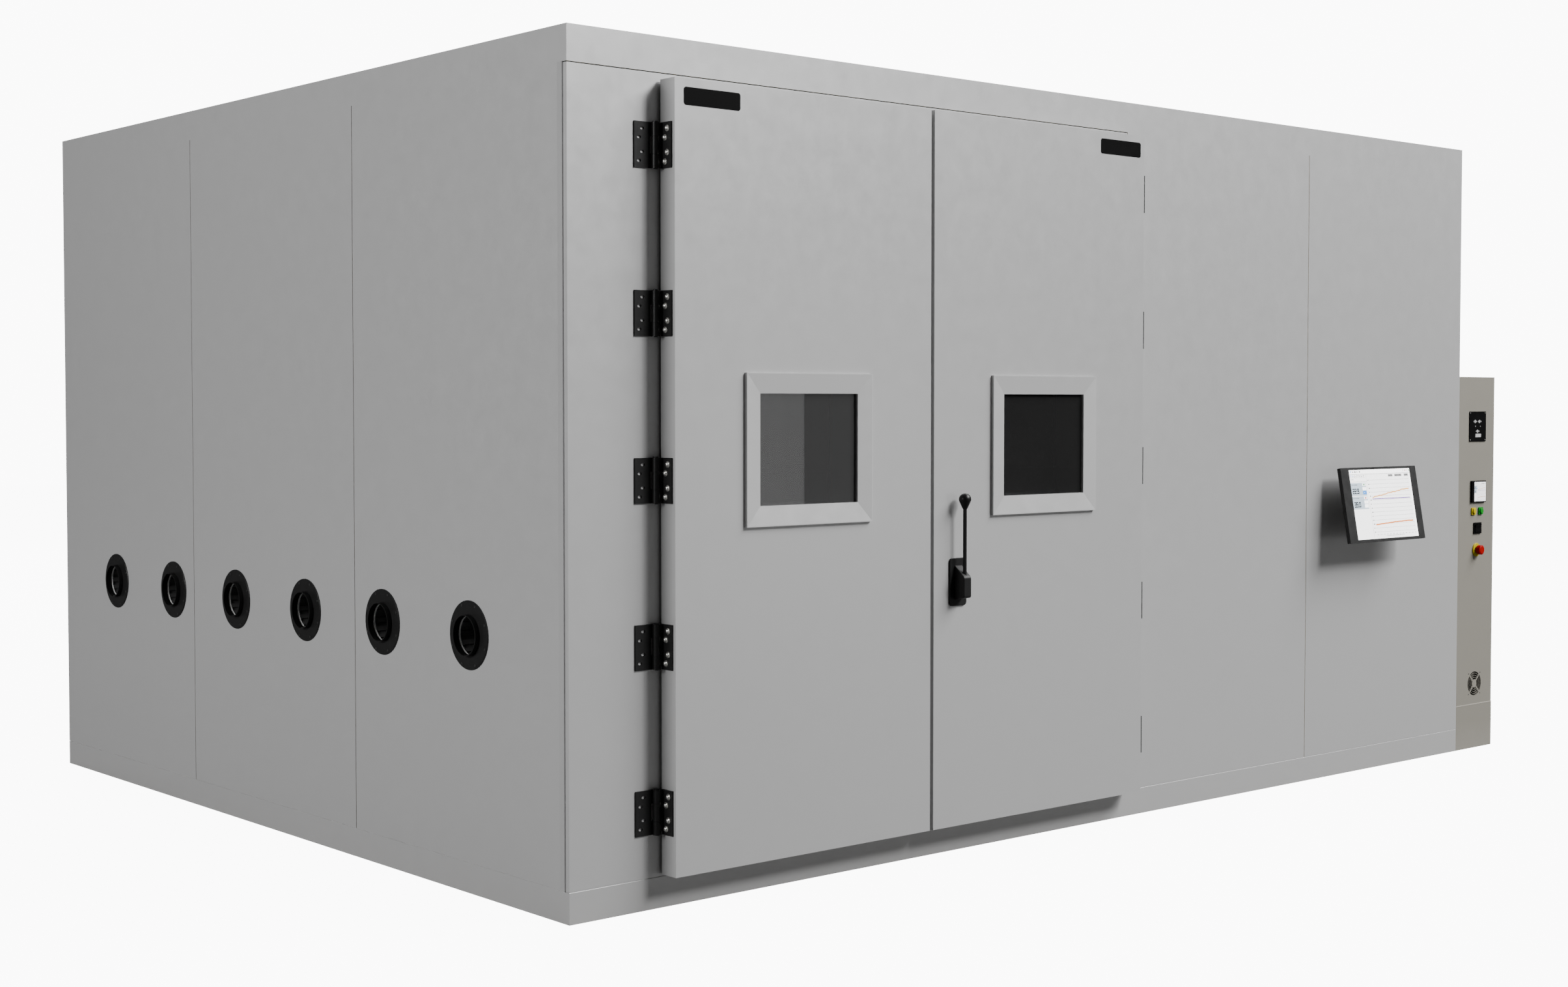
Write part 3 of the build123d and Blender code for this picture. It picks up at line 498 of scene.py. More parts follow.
nodeCrease = 28
nodeFinishes = {
    "enamel": [
        "base_pan", "left_wall_skins", "back_wall_skins", "right_wall_skins", "front_wall_skins",
        "roof_skin",
    ],
    "doorEnamel": ["left_door_skin", "right_door_skin"],
    "frameEnamel": ["left_window_frame", "right_window_frame"],
    "jamb": ["door_jamb"],
    "foam": ["insulation_cores", "left_door_core", "right_door_core"],
    "rubber": ["seam_gaskets", "left_door_gaskets", "right_door_gasket"],
    "stainless": [
        "chamber_liner", "left_door_liner", "right_door_liner", "plenum_wall", "supply_louvres",
        "fan_shroud", "latch_keeper",
    ],
    "ring": ["port_rings"],
    "portPlastic": ["port_flanges"],
    "tubePlastic": ["port_tubes"],
    "blackPlastic": [
        "socket_panel", "cabinet_fan_frame", "cabinet_fan_rotor", "switch_bezels", "power_rocker",
        "cabinet_display",
    ],
    "blackSteel": ["hinge_wall_leaves", "left_hinge_leaves", "right_hinge_leaves", "hinge_pins"],
    "zinc": ["left_hinge_bolts", "right_hinge_bolts", "heater_elements", "screen_bracket", "latch_spindle"],
    "latchBlack": ["handle_plate", "latch_lever"],
    "knob": ["latch_knob"],
    "aluminium": ["evaporator_coil", "blower_fan_front", "blower_fan_rear"],
    "motor": ["fan_motors"],
    "lamp": ["chamber_light"],
    "cabinet": ["cabinet_shell", "cabinet_plinth"],
    "yellow": ["estop_ring", "yellow_button"],
    "red": ["estop_button"],
    "green": ["green_button"],
    "glass": ["left_window_glass", "right_window_glass"],
    "screenCase": ["screen_housing", "screen_panel"],
}
for finish, names in nodeFinishes.items():
    for name in names:
        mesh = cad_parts[name].data
        mesh.materials.clear()
        mesh.materials.append(finishes[finish])
        mesh.shade_smooth()
        mesh.set_sharp_from_angle(angle=math.radians(nodeCrease))
print("CAD nodes finished:", sum(len(names) for names in nodeFinishes.values()))


# Places read from the frame

front = Vector((0, -1, 0))
leftward = Vector((-1, 0, 0))
weldDistance = 1e-5


def cornersOf(points):
    low = Vector([min(p[k] for p in points) for k in range(3)])
    high = Vector([max(p[k] for p in points) for k in range(3)])
    return low, high


def middle(ends):
    return (ends[0] + ends[1]) / 2


def looseBoxes(name):
    # the lowest and highest corner of each loose part of a CAD node
    bm = bmesh.new()
    bm.from_mesh(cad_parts[name].data)
    bmesh.ops.remove_doubles(bm, verts=bm.verts, dist=weldDistance)
    waiting, boxes = set(bm.verts), []
    while waiting:
        queue, points = [waiting.pop()], []
        while queue:
            vert = queue.pop()
            points.append(vert.co.copy())
            near = {edge.other_vert(vert) for edge in vert.link_edges} & waiting
            waiting -= near
            queue.extend(near)
        boxes.append(cornersOf(points))
    bm.free()
    return sorted(boxes, key=lambda ends: tuple(ends[0]))


def nodeFace(name):
    # a place on the middle of a node's largest flat face, own z outwards, with the face's width and height
    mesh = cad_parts[name].data
    normal = max(mesh.polygons, key=lambda polygon: polygon.area).normal
    normal = normal if normal.y < 0 else -normal
    basis = facing(normal, (0, 0, 0)).to_3x3().transposed()
    low, high = cornersOf([basis @ vert.co for vert in mesh.vertices])
    centre = basis.transposed() @ Vector(((low.x + high.x) / 2, (low.y + high.y) / 2, high.z))
    return facing(normal, centre), high.x - low.x, high.y - low.y


# Hinge bolts: a washer, a narrow collar and a domed cap over each head

hingeBolt = {
    "washerRadius": 0.0095, "washer": 0.0016, "bevel": 0.0005, "collarRadius": 0.006496,
    "collar": 0.0012, "shoulder": 0.0016, "capRadius": 0.0058, "cap": 0.0078, "domeShare": 0.28,
    "domeSteps": 6, "steps": 20, "smooth": 40,
}


def boltProfile():
    part = hingeBolt
    foot, bevel, radius = part["washer"], part["bevel"], part["capRadius"]
    dome = part["cap"] * part["domeShare"]
    profile = [
        (0.0, 0.0),
        (part["washerRadius"], 0.0),
        (part["washerRadius"], foot - bevel),
        (part["washerRadius"] - bevel, foot),
        (part["collarRadius"], foot),
        (part["collarRadius"], foot + part["collar"]),
        (radius, foot + part["shoulder"]),
    ]
    for k in range(part["domeSteps"]):
        turn = math.radians(90 * k / part["domeSteps"])
        profile.append((radius * math.cos(turn), part["cap"] - dome + dome * math.sin(turn)))
    return profile + [(0.0, part["cap"])]


def buildHingeBolts(side, outward):
    part = hingeBolt
    node = side + "_hinge_bolts"
    bm = bmesh.new()
    for low, high in looseBoxes(node):
        centre = middle((low, high))
        centre.x = high.x if outward.x < 0 else low.x
        addTurned(bm, boltProfile(), facing(outward, centre), part["steps"])
    name = side + "HingeBoltCaps"
    piece = addPiece(name, bm, finishes["zinc"], side + "_door", part["smooth"])
    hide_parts(node)


buildHingeBolts("left", leftward)
buildHingeBolts("right", -leftward)
print("hinge bolts built")


# Screws round the port flanges

portScrew = {
    "circle": 0.095, "count": 8, "firstTurn": 22.5, "stand": 0.004, "smooth": 35,
    "head": (
        (0.0, 0.0), (0.0042, 0.0), (0.003948, 0.00112), (0.00204, 0.0016), (0.0017, 0.00064),
        (0.0, 0.00064),
    ),
}


def buildPortScrews():
    part = portScrew
    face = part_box("left_wall_skins")[0].x
    bm = bmesh.new()
    for ends in looseBoxes("port_flanges"):
        centre = middle(ends)
        centre.x = face - part["stand"]
        for k in range(part["count"]):
            turn = math.radians(part["firstTurn"] + 360 / part["count"] * k)
            away = Vector((0, part["circle"] * math.cos(turn), part["circle"] * math.sin(turn)))
            addTurned(bm, part["head"], facing(leftward, centre + away))
    addPiece("portFlangeScrews", bm, finishes["darkScrew"], smoothAngle=part["smooth"])


buildPortScrews()
print("port screws built")


# Plates on the doors

doorPlate = {
    "size": (0.211, 0.052), "radius": 0.008, "steps": 6, "thick": 0.0012, "edge": 0.0006,
    "below": 0.024, "left": 0.0333, "right": 0.0199, "smooth": 30,
}


def buildDoorPlate(side):
    part = doorPlate
    width, height = part["size"]
    edge, radius, steps = part["edge"], part["radius"], part["steps"]
    low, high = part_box(side + "_door_skin")
    x = low.x + part["left"] + width / 2 if side == "left" else high.x - part["right"] - width / 2
    centre = Vector((x, low.y, high.z - part["below"] - height / 2))
    outer = rounded(width, height, radius, steps)
    inner = rounded(width - 2 * edge, height - 2 * edge, radius - edge, steps)
    layers = [(outer, 0.0), (outer, part["thick"] - edge), (inner, part["thick"])]
    bm = bmesh.new()
    addLayers(bm, layers, facing(front, centre))
    name, body = side + "DoorPlate", side + "_door"
    addPiece(name, bm, finishes["platePlastic"], body, part["smooth"])


for side in ("left", "right"):
    buildDoorPlate(side)
print("door plates built")


# Light edge of the left wall's first panel, beside the corner

cornerEdge = {"back": 0.0172, "rise": 0.0042, "run": 0.030}


def buildCornerEdge():
    part = cornerEdge
    low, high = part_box("left_wall_skins")
    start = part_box("front_wall_skins")[0].y + part["back"]
    outline = [(0.0, 0.0), (-part["rise"], 0.0), (0.0, part["run"])]
    bm = bmesh.new()
    addPlate(bm, outline, high.z - low.z, Matrix.Translation((low.x, start, low.z)))
    addPiece("cornerEdge", bm, finishes["enamel"])


buildCornerEdge()
print("corner edge built")


# Pages shown on the touchscreen and on the cabinet's display

pageTones = {
    "paper": (0.85, 0.85, 0.85),
    "white": (1.0, 1.0, 1.0),
    "grid": (0.20, 0.20, 0.20),
    "grey": (0.03, 0.03, 0.03),
    "ink": (0.006, 0.006, 0.006),
    "tile": (0.30, 0.36, 0.41),
    "blue": (0.03, 0.16, 0.46),
    "green": (0.01, 0.14, 0.03),
    "red": (0.30, 0.006, 0.015),
    "paleOrange": (0.56, 0.25, 0.05),
    "orange": (0.50, 0.13, 0.012),
    "purple": (0.12, 0.05, 0.26),
}
# boxes are left, right, top and foot, in fractions of the page from its top left corner
page = {
    "layer": 0.00006, "layerShare": 0.9, "squeeze": 0.66, "dotSteps": 12, "column": 0.265, "margin": 0.02,
    "title": (0.014, 0.058, 0.134, 0.146), "titlePitch": 0.010, "titleRule": (0.0, 0.265, 0.170, 0.174),
    "tiles": ((0.188, "22.9", "green", "blue"), (0.380, "39.0", "red", "white")), "strength": 2.3,
}


class Page:
    # marks kept by tone
    def __init__(self):
        self.marks = {}

    def shape(self, tone, points, layer=1):
        self.marks.setdefault(tone, []).append((points, layer))

    def area(self, tone, box, x=0.0, y=0.0, layer=1):
        left, right, top, foot = box[0] + x, box[1] + x, box[2] + y, box[3] + y
        self.shape(tone, [(left, foot), (right, foot), (right, top), (left, top)], layer)

    def line(self, tone, points, half):
        for (x0, y0), (x1, y1) in zip(points, points[1:]):
            run = [(x0, y0 + half), (x1, y1 + half), (x1, y1 - half), (x0, y0 - half)]
            self.shape(tone, run, 2)

    def dot(self, tone, x, y, radius, layer):
        steps, across = page["dotSteps"], radius * page["squeeze"]
        turns = [2 * math.pi * k / steps for k in range(steps)]
        self.shape(tone, [(x + across * math.cos(a), y - radius * math.sin(a)) for a in turns], layer)


digits = {
    "width": 0.021, "height": 0.062, "stroke": 0.0068, "pitch": 1.55, "point": (-0.4, 0.8),
    "pointPitch": 0.42,
}
digitStrokes = {
    "top": (0, 0, 1, 0), "middle": (0, 0.5, 1, 0.5), "bottom": (0, 1, 1, 1),
    "upperLeft": (0, 0, 0, 0.5), "upperRight": (1, 0, 1, 0.5),
    "lowerLeft": (0, 0.5, 0, 1), "lowerRight": (1, 0.5, 1, 1),
}
digitForms = {
    "0": ["top", "bottom", "upperLeft", "upperRight", "lowerLeft", "lowerRight"],
    "2": ["top", "middle", "bottom", "upperRight", "lowerLeft"],
    "3": ["top", "middle", "bottom", "upperRight", "lowerRight"],
    "9": ["top", "middle", "bottom", "upperLeft", "upperRight", "lowerRight"],
}


def writeNumber(sheet, text, x, y):
    width, height, stroke = digits["width"], digits["height"], digits["stroke"]
    aside = stroke * page["squeeze"]
    for letter in text:
        if letter == ".":
            left, right = (stroke * side for side in digits["point"])
            sheet.area("ink", (left, right, height - stroke, height + stroke), x, y, 3)
            x += width * digits["pointPitch"]
            continue
        for name in digitForms[letter]:
            x0, y0, x1, y1 = digitStrokes[name]
            box = (x0 * width - aside, x1 * width + aside, y0 * height - stroke, y1 * height + stroke)
            sheet.area("ink", box, x, y, 3)
        x += width * digits["pitch"]


smallType = {"stroke": 0.45, "uneven": 0.3, "seed": 9, "lower": 0.25, "least": 0.3}
waves = {"quick": 1.7, "slow": 0.61}


def wander(k, seed):
    # small steady unevenness between -1 and 1
    return (math.sin(k * waves["quick"] + seed) + math.sin(k * waves["slow"] + 2 * seed)) / 2


def writeBar(sheet, tone, box, pitch, x=0.0, y=0.0, layer=2):
    # a line of small type too fine to read, as short strokes of uneven length
    part = smallType
    start, end, top, foot = box[0] + x, box[1] + x, box[2] + y, box[3] + y
    at, k = start, 0
    while at < end - pitch * part["least"]:
        length = pitch * (part["stroke"] + part["uneven"] * abs(wander(k, start * part["seed"])))
        raised = top + (foot - top) * part["lower"] * (k % 3 == 1)
        sheet.area(tone, (at, min(at + length, end), raised, foot), layer=layer)
        at += pitch
        k += 1


topBar = {"end": 0.062, "rule": 0.004}
toolMarks = {
    "tones": ("blue", "ink", "ink", "ink", "ink"), "first": 0.018, "pitch": 0.036,
    "post": (0.0, 0.007, 0.016, 0.044), "flag": (0.008, 0.016, 0.016, 0.030), "drops": (0.012, 0.008),
}
stateMarks = {
    "tones": ("grey", "red", "red", "green"), "first": 0.885, "pitch": 0.034,
    "widths": (0.006, 0.011), "top": 0.016, "foot": 0.042,
}
tabMarks = {
    "tones": ("blue", "blue", "grey", "grey", "grey", "grey", "grey"), "first": 0.014, "pitch": 0.034,
    "post": (0.0, 0.004, 0.072, 0.106), "flag": (0.006, 0.016, 0.080, 0.088), "drop": 0.006,
    "rule": (-0.006, 0.024, 0.110, 0.113),
}
pageButtons = {
    "spans": ((0.63, 0.705), (0.735, 0.855), (0.895, 0.965)), "top": 0.078, "foot": 0.112,
    "insets": (0.01, 0.008), "type": (0.086, 0.104), "pitch": 0.013,
}


def drawBars(sheet):
    end = topBar["end"]
    sheet.area("white", (0, 1, 0, end))
    sheet.area("white", (1 - page["margin"], 1, end, 1))
    sheet.area("grey", (0, 1, end, end + topBar["rule"]), layer=2)
    part = toolMarks
    for k, tone in enumerate(part["tones"]):
        x = part["first"] + part["pitch"] * k
        left, right, top, foot = part["flag"]
        flag = (left, right, top + part["drops"][0] * (k % 2), foot + part["drops"][1] * (k % 3))
        sheet.area(tone, part["post"], x, layer=2)
        sheet.area(tone, flag, x, layer=2)
    part = stateMarks
    for k, tone in enumerate(part["tones"]):
        mark = (0.0, part["widths"][k % 2], part["top"], part["foot"])
        sheet.area(tone, mark, part["first"] + part["pitch"] * k, layer=2)
    part = tabMarks
    for k, tone in enumerate(part["tones"]):
        x = part["first"] + part["pitch"] * k
        sheet.area(tone, part["post"], x, layer=2)
        sheet.area(tone, part["flag"], x, part["drop"] * (k % 3), 2)
        sheet.area("grid", part["rule"], x, layer=2)
    part = pageButtons
    for left, right in part["spans"]:
        sheet.area("grid", (left, right, part["top"], part["foot"]), layer=2)
        words = (left + part["insets"][0], right - part["insets"][1], *part["type"])
        writeBar(sheet, "grey", words, part["pitch"], layer=3)


# marks beside the tile's right end are measured back from it
tile = {
    "end": 0.245, "height": 0.185, "title": (0.012, 0.11, 0.022, 0.034), "titlePitch": 0.011,
    "state": (-0.060, -0.006, 0.006, 0.045), "dot": (-0.032, 0.026, 0.014),
    "upperBox": (-0.062, -0.004, 0.062, 0.108), "upperWord": (-0.044, -0.022, 0.082, 0.088),
    "lowerBox": (-0.062, -0.004, 0.116, 0.166), "lowerWord": (-0.044, -0.022, 0.136, 0.142),
    "wordPitch": 0.010, "number": (0.022, 0.088),
}


def drawTile(sheet, top, number, dotTone, boxTone):
    part = tile
    end, pitch = part["end"], part["wordPitch"]
    sheet.area("tile", (0, end, 0, part["height"]), 0, top, 2)
    writeBar(sheet, "grey", part["title"], part["titlePitch"], 0, top, 3)
    sheet.area("paper", part["state"], end, top, 3)
    across, down, radius = part["dot"]
    sheet.dot(dotTone, end + across, top + down, radius, 4)
    sheet.area("white", part["upperBox"], end, top, 3)
    writeBar(sheet, "grey", part["upperWord"], pitch, end, top, 4)
    sheet.area(boxTone, part["lowerBox"], end, top, 3)
    writeBar(sheet, "white", part["lowerWord"], pitch, end, top, 4)
    writeNumber(sheet, number, part["number"][0], top + part["number"][1])


chart = {
    "left": 0.31, "right": 0.965, "top": 0.155, "foot": 0.905, "rows": 14, "half": 0.0018,
    "scale": (-0.026, -0.013, -0.006, 0.006), "longer": 0.004,
    "dashes": 46, "dashTop": 0.07, "dashRun": 0.92, "dash": (-0.001, 0.002, 0.0, 0.012),
    "plotInset": 0.012, "plotTrim": 0.03, "times": 12, "time": (0.0, 0.026, 0.938, 0.948),
    "timePitch": 0.009, "legend": (0.47, 0.77, 0.958, 0.968), "legendPitch": 0.011, "steps": 30,
}
curves = {
    "rising": {
        "tone": "paleOrange", "start": 0.408, "climb": 0.118, "bend": 0.9, "uneven": 0.006, "seed": 1.3,
        "half": 0.0075,
    },
    "level": {
        "tone": "purple", "start": 0.428, "climb": 0.0, "bend": 1.0, "uneven": 0.0, "seed": 0.0,
        "half": 0.0065,
    },
    "lower": {
        "tone": "orange", "start": 0.800, "climb": 0.036, "bend": 1.5, "uneven": 0.003, "seed": 4.1,
        "half": 0.0090,
    },
}


def curveHeight(name, share, k):
    curve = curves[name]
    bent = math.sin(share * curve["bend"]) if name == "lower" else share ** curve["bend"]
    return curve["start"] - curve["climb"] * bent + curve["uneven"] * wander(k, curve["seed"])


def drawChart(sheet):
    part = chart
    left, right, top, foot = part["left"], part["right"], part["top"], part["foot"]
    for k in range(part["rows"]):
        y = top + (foot - top) * k / (part["rows"] - 1)
        x0, x1, y0, y1 = part["scale"]
        sheet.area("grid", (left, right, -part["half"], part["half"]), 0, y)
        sheet.area("grey", (x0, x1 + part["longer"] * (k % 3), y0, y1), left, y, 2)
    for k in range(part["dashes"]):
        y = part["dashTop"] + part["dashRun"] * k / part["dashes"]
        sheet.area("grey", part["dash"], page["column"], y, 2)
    start, run = left + part["plotInset"], right - left - part["plotTrim"]
    for k in range(part["times"] + 1):
        writeBar(sheet, "grey", part["time"], part["timePitch"], start + run * k / part["times"])
    writeBar(sheet, "grey", part["legend"], part["legendPitch"])
    for name, curve in curves.items():
        shares = [k / part["steps"] for k in range(part["steps"] + 1)]
        points = [(start + run * share, curveHeight(name, share, k)) for k, share in enumerate(shares)]
        sheet.line(curve["tone"], points, curve["half"])


def buildPage(prefix, place, width, height, body, strength):
    sheet = Page()
    drawBars(sheet)
    writeBar(sheet, "grey", page["title"], page["titlePitch"])
    sheet.area("grid", page["titleRule"])
    for top, number, dotTone, boxTone in page["tiles"]:
        drawTile(sheet, top, number, dotTone, boxTone)
    drawChart(sheet)
    sheet.area("paper", (0, 1, 0, 1), layer=0)
    for tone, shapes in sheet.marks.items():
        bm = bmesh.new()
        for points, layer in shapes:
            base = Matrix.Translation((0, 0, layer * page["layer"]))
            outline = [((x - 0.5) * width, (0.5 - y) * height) for x, y in points]
            addPlate(bm, outline, page["layer"] * page["layerShare"], place @ base)
        name = prefix + tone[0].upper() + tone[1:]
        addPiece(name, bm, litMaterial(name, pageTones[tone], strength), body)


buildPage("screenPage", *nodeFace("screen_panel"), "screen", page["strength"])
print("touchscreen page built")


# Small display of the cabinet

smallDisplay = {
    "leftEdge": 0.018, "edge": 0.005, "rise": 0.0004, "radius": 0.001, "lap": 0.001, "strength": 1.1,
}


def buildSmallDisplay():
    part = smallDisplay
    low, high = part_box("cabinet_display")
    width = high.x - low.x - part["leftEdge"] - part["edge"]
    height = high.z - low.z - 2 * part["edge"]
    centre = Vector((low.x + part["leftEdge"] + width / 2, low.y, middle((low, high)).z))
    bm = bmesh.new()
    outer = rounded(width + part["lap"], height + part["lap"], part["radius"])
    addPlate(bm, outer, part["rise"], facing(front, centre))
    addObject("smallDisplayPane", finishMesh("smallDisplayPane", bm), finishes["screenCase"], "chamber")
    centre.y -= part["rise"]
    buildPage("displayPage", facing(front, centre), width, height, "chamber", part["strength"])


# Screws, blanks and printed marks of the socket plate, in two rows

socketPlate = {
    "screwInset": 0.0065, "screwHead": ((0.0, 0.0), (0.0028, 0.0), (0.00224, 0.001), (0.0, 0.0012)),
    "rows": (((-0.021, 0.013), 0.0424), ((-0.002,), 0.0841)),
    "blank": (0.0176, 0.0106, 0.001), "blankSpread": 0.044, "blankSink": 0.0018, "blankThick": 0.0016,
    "round": (0.009, 0.013, 0.003), "arrow": ((-0.013, 0), (-0.008, -0.0045), (-0.008, 0.0045)),
    "bar": (0.0045, 0.006, 0.0005, 1, 0.01025), "print": 0.0004,
    "lampSpots": (-0.019, 0.019), "lampSteps": 12, "lampDrop": 0.06325,
    "lamp": ((0.0, 0.0), (0.0022, 0.0), (0.0018, 0.0007), (0.0, 0.0009)),
    "label": (0.043, 0.0145, 0.0012), "labelShift": 0.0035, "labelDrop": 0.1022, "smooth": 35,
}


def buildSocketDetails():
    part = socketPlate
    low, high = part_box("socket_panel")
    midX, face = middle((low, high)).x, low.y
    screws, blanks, marks = bmesh.new(), bmesh.new(), bmesh.new()
    inset = part["screwInset"]
    for x in (low.x + inset, high.x - inset):
        for z in (low.z + inset, high.z - inset):
            addTurned(screws, part["screwHead"], facing(front, (x, face, z)))
    for spots, drop in part["rows"]:
        for side in (-0.5, 0.5):
            spot = (midX + side * part["blankSpread"], face + part["blankSink"], high.z - drop)
            addPlate(blanks, rounded(*part["blank"]), part["blankThick"], facing(front, spot))
        for x in spots:
            place = facing(front, (midX + x, face, high.z - drop))
            for outline in (rounded(*part["round"]), part["arrow"], rounded(*part["bar"])):
                addPlate(marks, outline, part["print"], place)
    for x in part["lampSpots"]:
        place = facing(front, (midX + x, face, high.z - part["lampDrop"]))
        addTurned(marks, part["lamp"], place, part["lampSteps"])
    place = facing(front, (midX + part["labelShift"], face, high.z - part["labelDrop"]))
    addPlate(marks, rounded(*part["label"]), part["print"], place)
    smooth = part["smooth"]
    addPiece("socketScrews", screws, finishes["zinc"], smoothAngle=smooth)
    addPiece("socketPlugs", blanks, finishes["blackPlastic"], smoothAngle=smooth)
    addPiece("socketMarks", marks, finishes["printWhite"], smoothAngle=smooth)


# Coloured skins over the push buttons' rims, open round the buttons

buttonCollar = {"skin": 0.0003, "radius": 0.004, "bore": 0.0132, "steps": 6, "smooth": 30}


def buildButtonCollar(node, finish):
    part = buttonCollar
    button = middle(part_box(node))
    rim = min(looseBoxes("switch_bezels"), key=lambda ends: (middle(ends) - button).length)
    low, high = rim
    skin = part["skin"]
    outer = rounded(high.x - low.x + 2 * skin, high.z - low.z + 2 * skin, part["radius"], part["steps"])
    turns = [math.atan2(y, x) for x, y in outer]
    inner = [(part["bore"] * math.cos(a), part["bore"] * math.sin(a)) for a in turns]
    depth = high.y - low.y + skin
    centre = middle(rim)
    bm = bmesh.new()
    layers = [(inner, 0.0), (outer, 0.0), (outer, depth), (inner, depth)]
    addLayers(bm, layers, facing(front, (centre.x, high.y, centre.z)), ring=True)
    name = node.split("_")[0] + "ButtonCollar"
    addPiece(name, bm, finishes[finish], smoothAngle=part["smooth"])


# Painted shade: dark strips on both sides of each slot in front of the cabinet's fan, widening the shade
# seen in the slots

slotShadeStrips = {
    "slots": ((0.046, 0.050), (0.037, 0.042), (0.028, 0.033), (0.019, 0.024)),
    "ribs": 4, "rib": 0.007, "wide": 0.001, "thick": 0.0003, "steps": 14,
}


def addArc(bm, inner, outer, middleTurn, place):
    # flat strip of painted shade along a slot, from rib to rib
    part = slotShadeStrips
    steps, points = part["steps"], []
    for radius, order in ((inner, 1), (outer, -1)):
        reach = math.pi / part["ribs"] - math.asin(part["rib"] / 2 / radius)
        turns = [middleTurn - reach + 2 * reach * k / steps for k in range(steps + 1)]
        points += [(radius * math.cos(a), radius * math.sin(a)) for a in turns[::order]]
    addPlate(bm, points[::-1], part["thick"], place)


def buildSlotShadeStrips():
    part = slotShadeStrips
    centre = middle(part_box("cabinet_fan_frame"))
    place = facing(front, (centre.x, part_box("cabinet_shell")[0].y, centre.z))
    bm = bmesh.new()
    for start, end in part["slots"]:
        for k in range(part["ribs"]):
            turn = 2 * math.pi * k / part["ribs"]
            addArc(bm, start - part["wide"], start, turn, place)
            addArc(bm, end, end + part["wide"], turn, place)
    addPiece("paintedSlotShade", bm, finishes["blackPlastic"])


# Painted highlight: a pale strip along the top of the plinth's front, standing for light caught on that
# edge

plinthHighlight = {"height": 0.0035, "rise": 0.0006}


def buildPlinthHighlight():
    part = plinthHighlight
    low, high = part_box("cabinet_plinth")
    face = low.y - part["rise"]
    outline = [(low.x, face), (high.x, face), (high.x, low.y), (low.x, low.y)]
    bm = bmesh.new()
    addPlate(bm, outline, part["height"], Matrix.Translation((0, 0, high.z - part["height"])))
    addPiece("plinthHighlight", bm, finishes["cabinetHighlight"])


# Screws at the corners of the fan's grille

fanGuard = {
    "screwSpread": 0.0887, "head": ((0.0, 0.0), (0.0024, 0.0), (0.00168, 0.0012), (0.0, 0.00096)),
    "smooth": 35,
}


def buildGuardScrews():
    part = fanGuard
    centre, face = middle(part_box("cabinet_fan_frame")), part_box("cabinet_shell")[0].y
    bm = bmesh.new()
    for sx in (-0.5, 0.5):
        for sz in (-0.5, 0.5):
            spot = (centre.x + sx * part["screwSpread"], face, centre.z + sz * part["screwSpread"])
            addTurned(bm, part["head"], facing(front, spot))
    addPiece("fanGuardScrews", bm, finishes["darkScrew"], smoothAngle=part["smooth"])


buildSmallDisplay()
buildSocketDetails()
buildButtonCollar("yellow_button", "yellow")
buildButtonCollar("green_button", "green")
buildSlotShadeStrips()
buildPlinthHighlight()
buildGuardScrews()
print("cabinet details built")


# Fins on the evaporator coil, seen through the return openings

coilFin = {
    "pitch": 0.014, "thick": 0.0006, "stand": 0.003, "inset": 0.006,
    "frontEdge": 0.01, "backEdge": 0.05, "foot": 0.36,
}


def buildCoilFins():
    part = coilFin
    stand, thick = part["stand"], part["thick"]
    low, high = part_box("evaporator_coil")
    y0, y1 = low.y + part["frontEdge"], high.y - part["backEdge"]
    z0, z1 = low.z + (high.z - low.z) * part["foot"], high.z - part["inset"]
    outline = [(0, 0), (stand, 0), (stand, thick), (0, thick)]
    bm = bmesh.new()
    for k in range(int((y1 - y0) / part["pitch"])):
        start = (low.x + part["inset"] - stand, y0 + (k + 0.5) * part["pitch"], z0)
        addPlate(bm, outline, z1 - z0, Matrix.Translation(start))
    addPiece("coilFins", bm, finishes["aluminium"])


buildCoilFins()
print("coil fins built")


# Studio

studio = {
    "floorSize": 60.0, "floorTone": 0.08, "floorUneven": 1.1, "unevenScale": 0.8, "floorRough": 0.9,
    "floorSeen": 10.2, "skySeen": 10.5, "skyLight": 0.025,
}
lights = {
    "keyLight": {
        "place": (12.5, -12.0, 16.5), "aim": (0.0, -1.8, 1.4), "size": (12.0, 12.0), "power": 10500.0,
    },
    "sheenLight": {
        "place": (4.0, -10.4, 8.4), "aim": (-1.9, -1.8, 2.2), "size": (2.4, 2.4), "power": 1350.0,
    },
    "fillLight": {
        "place": (-12.0, -0.6, 4.0), "aim": (-2.3, -0.2, 1.3), "size": (3.0, 3.0), "power": 1310.0,
    },
    "backLight": {
        "place": (1.5, 14.0, 6.0), "aim": (0.0, 1.8, 1.3), "size": (6.0, 6.0), "power": 1900.0,
    },
    # two pale cards that only the left window mirrors
    "wideCard": {
        "place": (5.18, -9.34, 1.12), "aim": (-1.45, -1.85, 1.34), "size": (1.0, 1.6), "power": 6.0,
    },
    "halfCard": {
        "place": (4.85, -9.61, 1.12), "aim": (-1.45, -1.85, 1.34), "size": (0.8, 1.6), "power": 7.0,
    },
}
camera = {
    "place": (-5.7040, -6.6543, 1.4839), "pitch": 2.0475, "heading": -40.8095,
    "lens": 48.41, "sensor": 36.0, "shift": (0.0013, -0.0106),
}


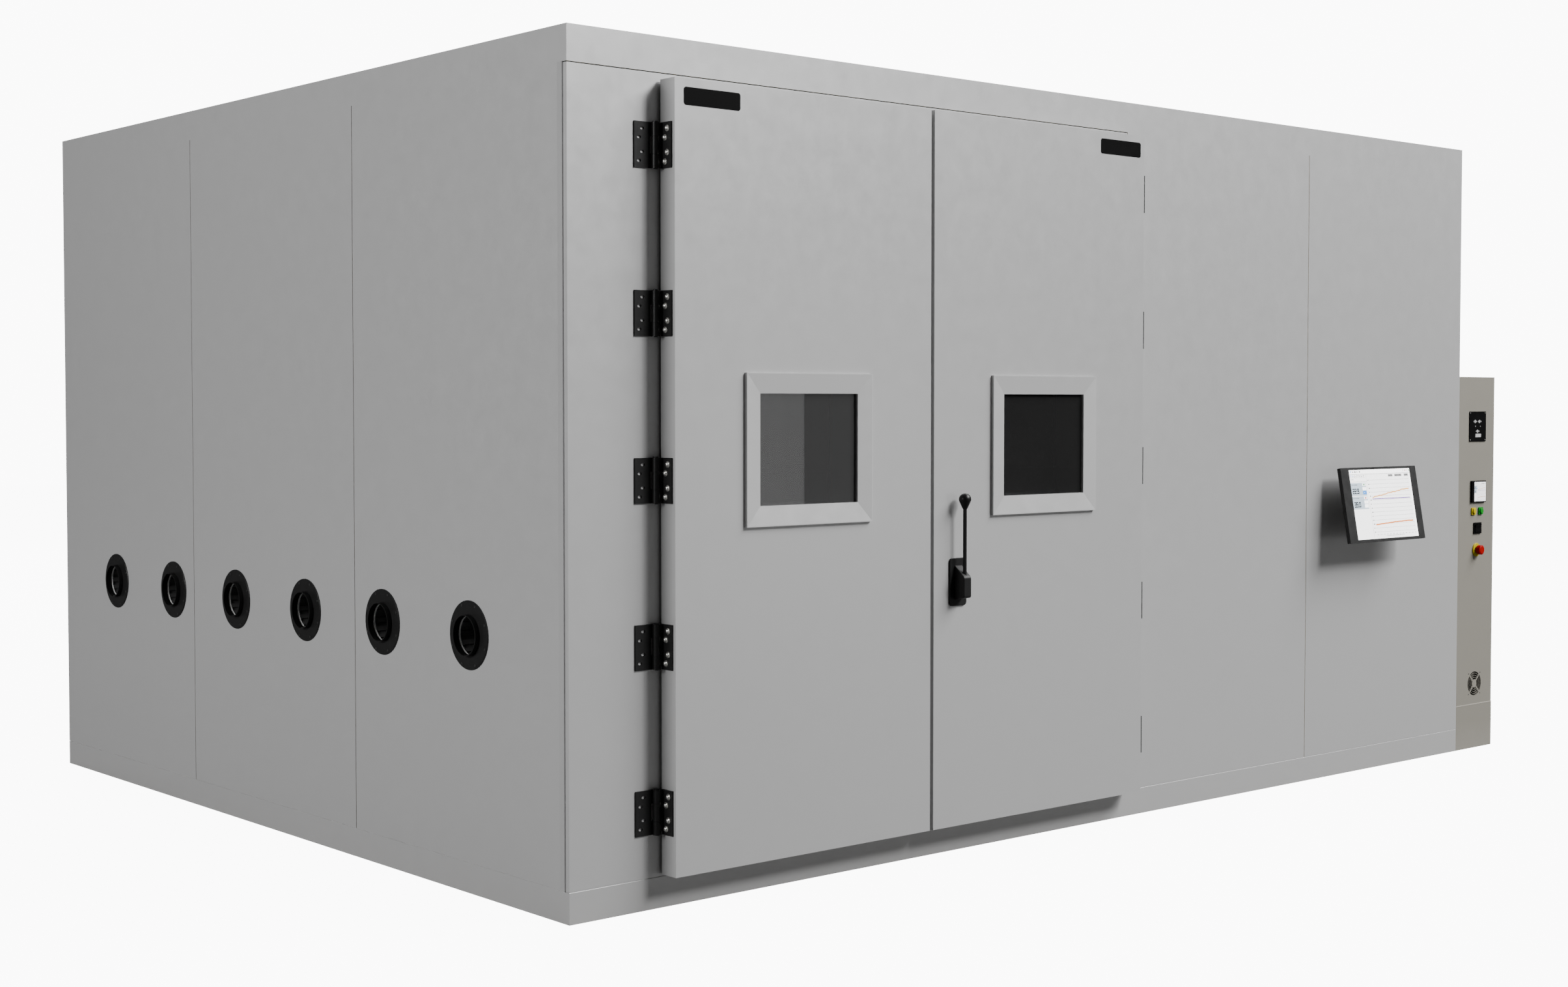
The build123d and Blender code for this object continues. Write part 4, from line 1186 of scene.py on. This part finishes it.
def seenOnly(tree, seen, light):
    # one strength for the camera's view of a surface, another for the light it gives
    path = tree.nodes.new("ShaderNodeLightPath")
    return remap(tree, path.outputs["Is Camera Ray"], 0.0, 1.0, light, seen)


def buildFloor():
    part = studio
    bm = bmesh.new()
    bmesh.ops.create_grid(bm, x_segments=1, y_segments=1, size=part["floorSize"] / 2)
    mesh = finishMesh("studioFloor", bm)
    material, tree, shader, coords = newMaterial("floorPaint", Roughness=part["floorRough"])
    tone = part["floorTone"]
    uneven = noiseAt(tree, coords, part["unevenScale"])
    paint = mixColor(tree, uneven, (*grey(tone), 1), (*grey(tone * part["floorUneven"]), 1))
    tree.links.new(paint, shader.inputs["Base Color"])
    shader.inputs["Emission Color"].default_value = (1, 1, 1, 1)
    tree.links.new(seenOnly(tree, part["floorSeen"], 0.0), shader.inputs["Emission Strength"])
    floor = bpy.data.objects.new("studioFloor", mesh)
    mesh.materials.append(material)
    bpy.context.scene.collection.objects.link(floor)


def buildSky():
    world = bpy.data.worlds.new("studioSky")
    world.use_nodes = True
    sky = world.node_tree.nodes["Background"]
    sky.inputs["Color"].default_value = (1, 1, 1, 1)
    strength = seenOnly(world.node_tree, studio["skySeen"], studio["skyLight"])
    world.node_tree.links.new(strength, sky.inputs["Strength"])
    bpy.context.scene.world = world


def addLight(name, place, aim, size, power):
    data = bpy.data.lights.new(name, "AREA")
    data.shape = "RECTANGLE"
    data.size, data.size_y = size
    data.energy = power
    light = bpy.data.objects.new(name, data)
    light.location = place
    light.rotation_euler = (Vector(aim) - Vector(place)).to_track_quat("-Z", "Y").to_euler()
    bpy.context.scene.collection.objects.link(light)


def placeCamera():
    data = bpy.data.cameras.new("photoCamera")
    data.lens = camera["lens"]
    data.sensor_width = camera["sensor"]
    data.shift_x, data.shift_y = camera["shift"]
    eye = bpy.data.objects.new("photoCamera", data)
    eye.location = camera["place"]
    eye.rotation_euler = (math.radians(90 - camera["pitch"]), 0, math.radians(camera["heading"]))
    bpy.context.scene.collection.objects.link(eye)
    bpy.context.scene.camera = eye


buildFloor()
buildSky()
for name, light in lights.items():
    addLight(name, **light)
placeCamera()
print("studio built")
